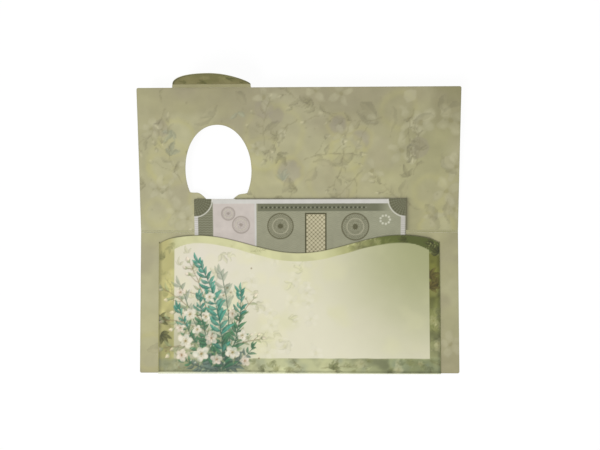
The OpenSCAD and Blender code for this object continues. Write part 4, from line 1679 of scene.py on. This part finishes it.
@dataclass(frozen=True)
class Studio:
    """The pale floor, the soft lights and the camera of the photograph."""

    camera_mm: tuple[float, float, float] = (9.681, 36.858, 471.619)
    camera_deg: tuple[float, float, float] = (2.1794, 1.0779, -0.0713)
    lens: float = 39.854
    key_share: float = 0.5
    sky_share: float = 0.5
    key_at: tuple[float, float, float] = (-1.0, -1.4, 2.2)
    key_aim: tuple[float, float, float] = (0.0, 0.04, 0.0)
    key_size: float = 1.05
    floor_half_mm: float = 4000.0
    floor_mm: float = -0.05
    floor_tone: tuple[float, float, float] = (0.82, 0.82, 0.81)
    floor_glow: float = 0.952
    floor_shade: float = 0.06

    def build(self) -> None:
        """Makes the floor, the world, the key light and the camera."""
        self._floor()
        self._world()
        self._key()
        data = bpy.data.cameras.new("camera")
        data.lens, data.sensor_width = self.lens, 36.0
        data.clip_start, data.clip_end = 0.01, 20.0
        camera = bpy.data.objects.new("camera", data)
        camera.location = [v * MM for v in self.camera_mm]
        camera.rotation_euler = [math.radians(v) for v in self.camera_deg]
        bpy.context.scene.collection.objects.link(camera)
        bpy.context.scene.camera = camera
        bpy.context.scene.view_settings.view_transform = "Standard"

    @staticmethod
    def _seen(w: Wiring) -> bpy.types.NodeSocket:
        """Returns 1 for camera, glossy and transmission rays."""
        path = w.node("ShaderNodeLightPath").outputs
        both = w.maths("MAXIMUM", path["Is Glossy Ray"], path["Is Transmission Ray"])
        return w.maths("MAXIMUM", path["Is Camera Ray"], both)

    def _floor(self) -> None:
        """Makes the floor: it glows white for the camera, with a share of real shading that keeps shadows."""
        side = np.linspace(-self.floor_half_mm, self.floor_half_mm, 5)
        grid = FlatMesh.grid(*np.meshgrid(side, side))
        points = np.column_stack([grid.points, np.full(len(grid.points), self.floor_mm)]) * MM
        mesh = bpy.data.meshes.new("floor")
        mesh.from_pydata(points.tolist(), [], grid.quads.tolist())
        material = bpy.data.materials.new("white_table")
        material.use_nodes = True
        tree = material.node_tree
        tree.nodes.remove(tree.nodes["Principled BSDF"])
        w = Wiring(tree)
        plain = w.node("ShaderNodeBsdfDiffuse", _Color=(*self.floor_tone, 1))
        faint = w.node("ShaderNodeBsdfDiffuse", _Color=(*([self.floor_shade] * 3), 1))
        glow = w.node("ShaderNodeEmission", _Strength=self.floor_glow)
        both, pick = w.node("ShaderNodeAddShader"), w.node("ShaderNodeMixShader")
        w.join(faint.outputs[0], both.inputs[0])
        w.join(glow.outputs[0], both.inputs[1])
        w.join(self._seen(w), pick.inputs[0])
        w.join(plain.outputs[0], pick.inputs[1])
        w.join(both.outputs[0], pick.inputs[2])
        w.join(pick.outputs[0], tree.nodes["Material Output"].inputs["Surface"])
        mesh.materials.append(material)
        floor = bpy.data.objects.new("floor", mesh)
        bpy.context.scene.collection.objects.link(floor)

    def _world(self) -> None:
        """Makes the world: an even sky that lights the object, and plain white where it is seen."""
        world = bpy.data.worlds.new("studio")
        bpy.context.scene.world = world
        world.use_nodes = True
        w = Wiring(world.node_tree)
        sky = world.node_tree.nodes["Background"]
        sky.inputs["Strength"].default_value = self.sky_share
        white = w.node("ShaderNodeBackground", _Color=(1, 1, 1, 1), _Strength=1.0)
        pick = w.node("ShaderNodeMixShader")
        w.join(self._seen(w), pick.inputs[0])
        w.join(sky.outputs[0], pick.inputs[1])
        w.join(white.outputs[0], pick.inputs[2])
        sky.inputs["Color"].default_value = (1, 1, 1, 1)
        w.join(pick.outputs[0], world.node_tree.nodes["World Output"].inputs["Surface"])

    def _key(self) -> None:
        """Makes the key light: a broad soft panel to the lower left that gives its share of an even level.

        A panel of power P at distance d that faces a spot gives it P cos / (pi d^2), and a white surface
        renders white at pi in all.
        """
        place, aim = np.array(self.key_at), np.array(self.key_aim)
        reach = float(np.linalg.norm(place - aim))
        lean = (place - aim)[2] / reach
        data = bpy.data.lights.new("key", "AREA")
        data.shape, data.size = "DISK", self.key_size
        data.energy = self.key_share * math.pi * math.pi * reach * reach / lean
        light = bpy.data.objects.new("key", data)
        light.location = place
        x, y, z = aim - place
        light.rotation_euler = math.acos(-z / reach), 0.0, math.atan2(y, x) - math.pi / 2
        bpy.context.scene.collection.objects.link(light)


def report(label: str, *pieces: bpy.types.Object) -> None:
    """Says in the log which pieces a sub-assembly has and how many faces each of them has."""
    for piece in pieces:
        log.info("%s: %s, %d faces", label, piece.name, len(piece.data.polygons))


def main() -> None:
    """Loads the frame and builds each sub-assembly in order."""
    logging.basicConfig(level=logging.INFO, format="%(name)s: %(message)s")
    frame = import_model()
    hinges = Hinges.of(frame)
    Studio().build()
    report("back panel", BackPanel().build())
    report("pocket", Pocket().build())
    report("cover", Cover(hinges).build())
    report("tuck tab", TuckTongue(hinges).build())
    report("slip", *GiftSlip(hinges).build())
    SmallParts(frame["nodes"]).dress()


if __name__ == "__main__":
    main()
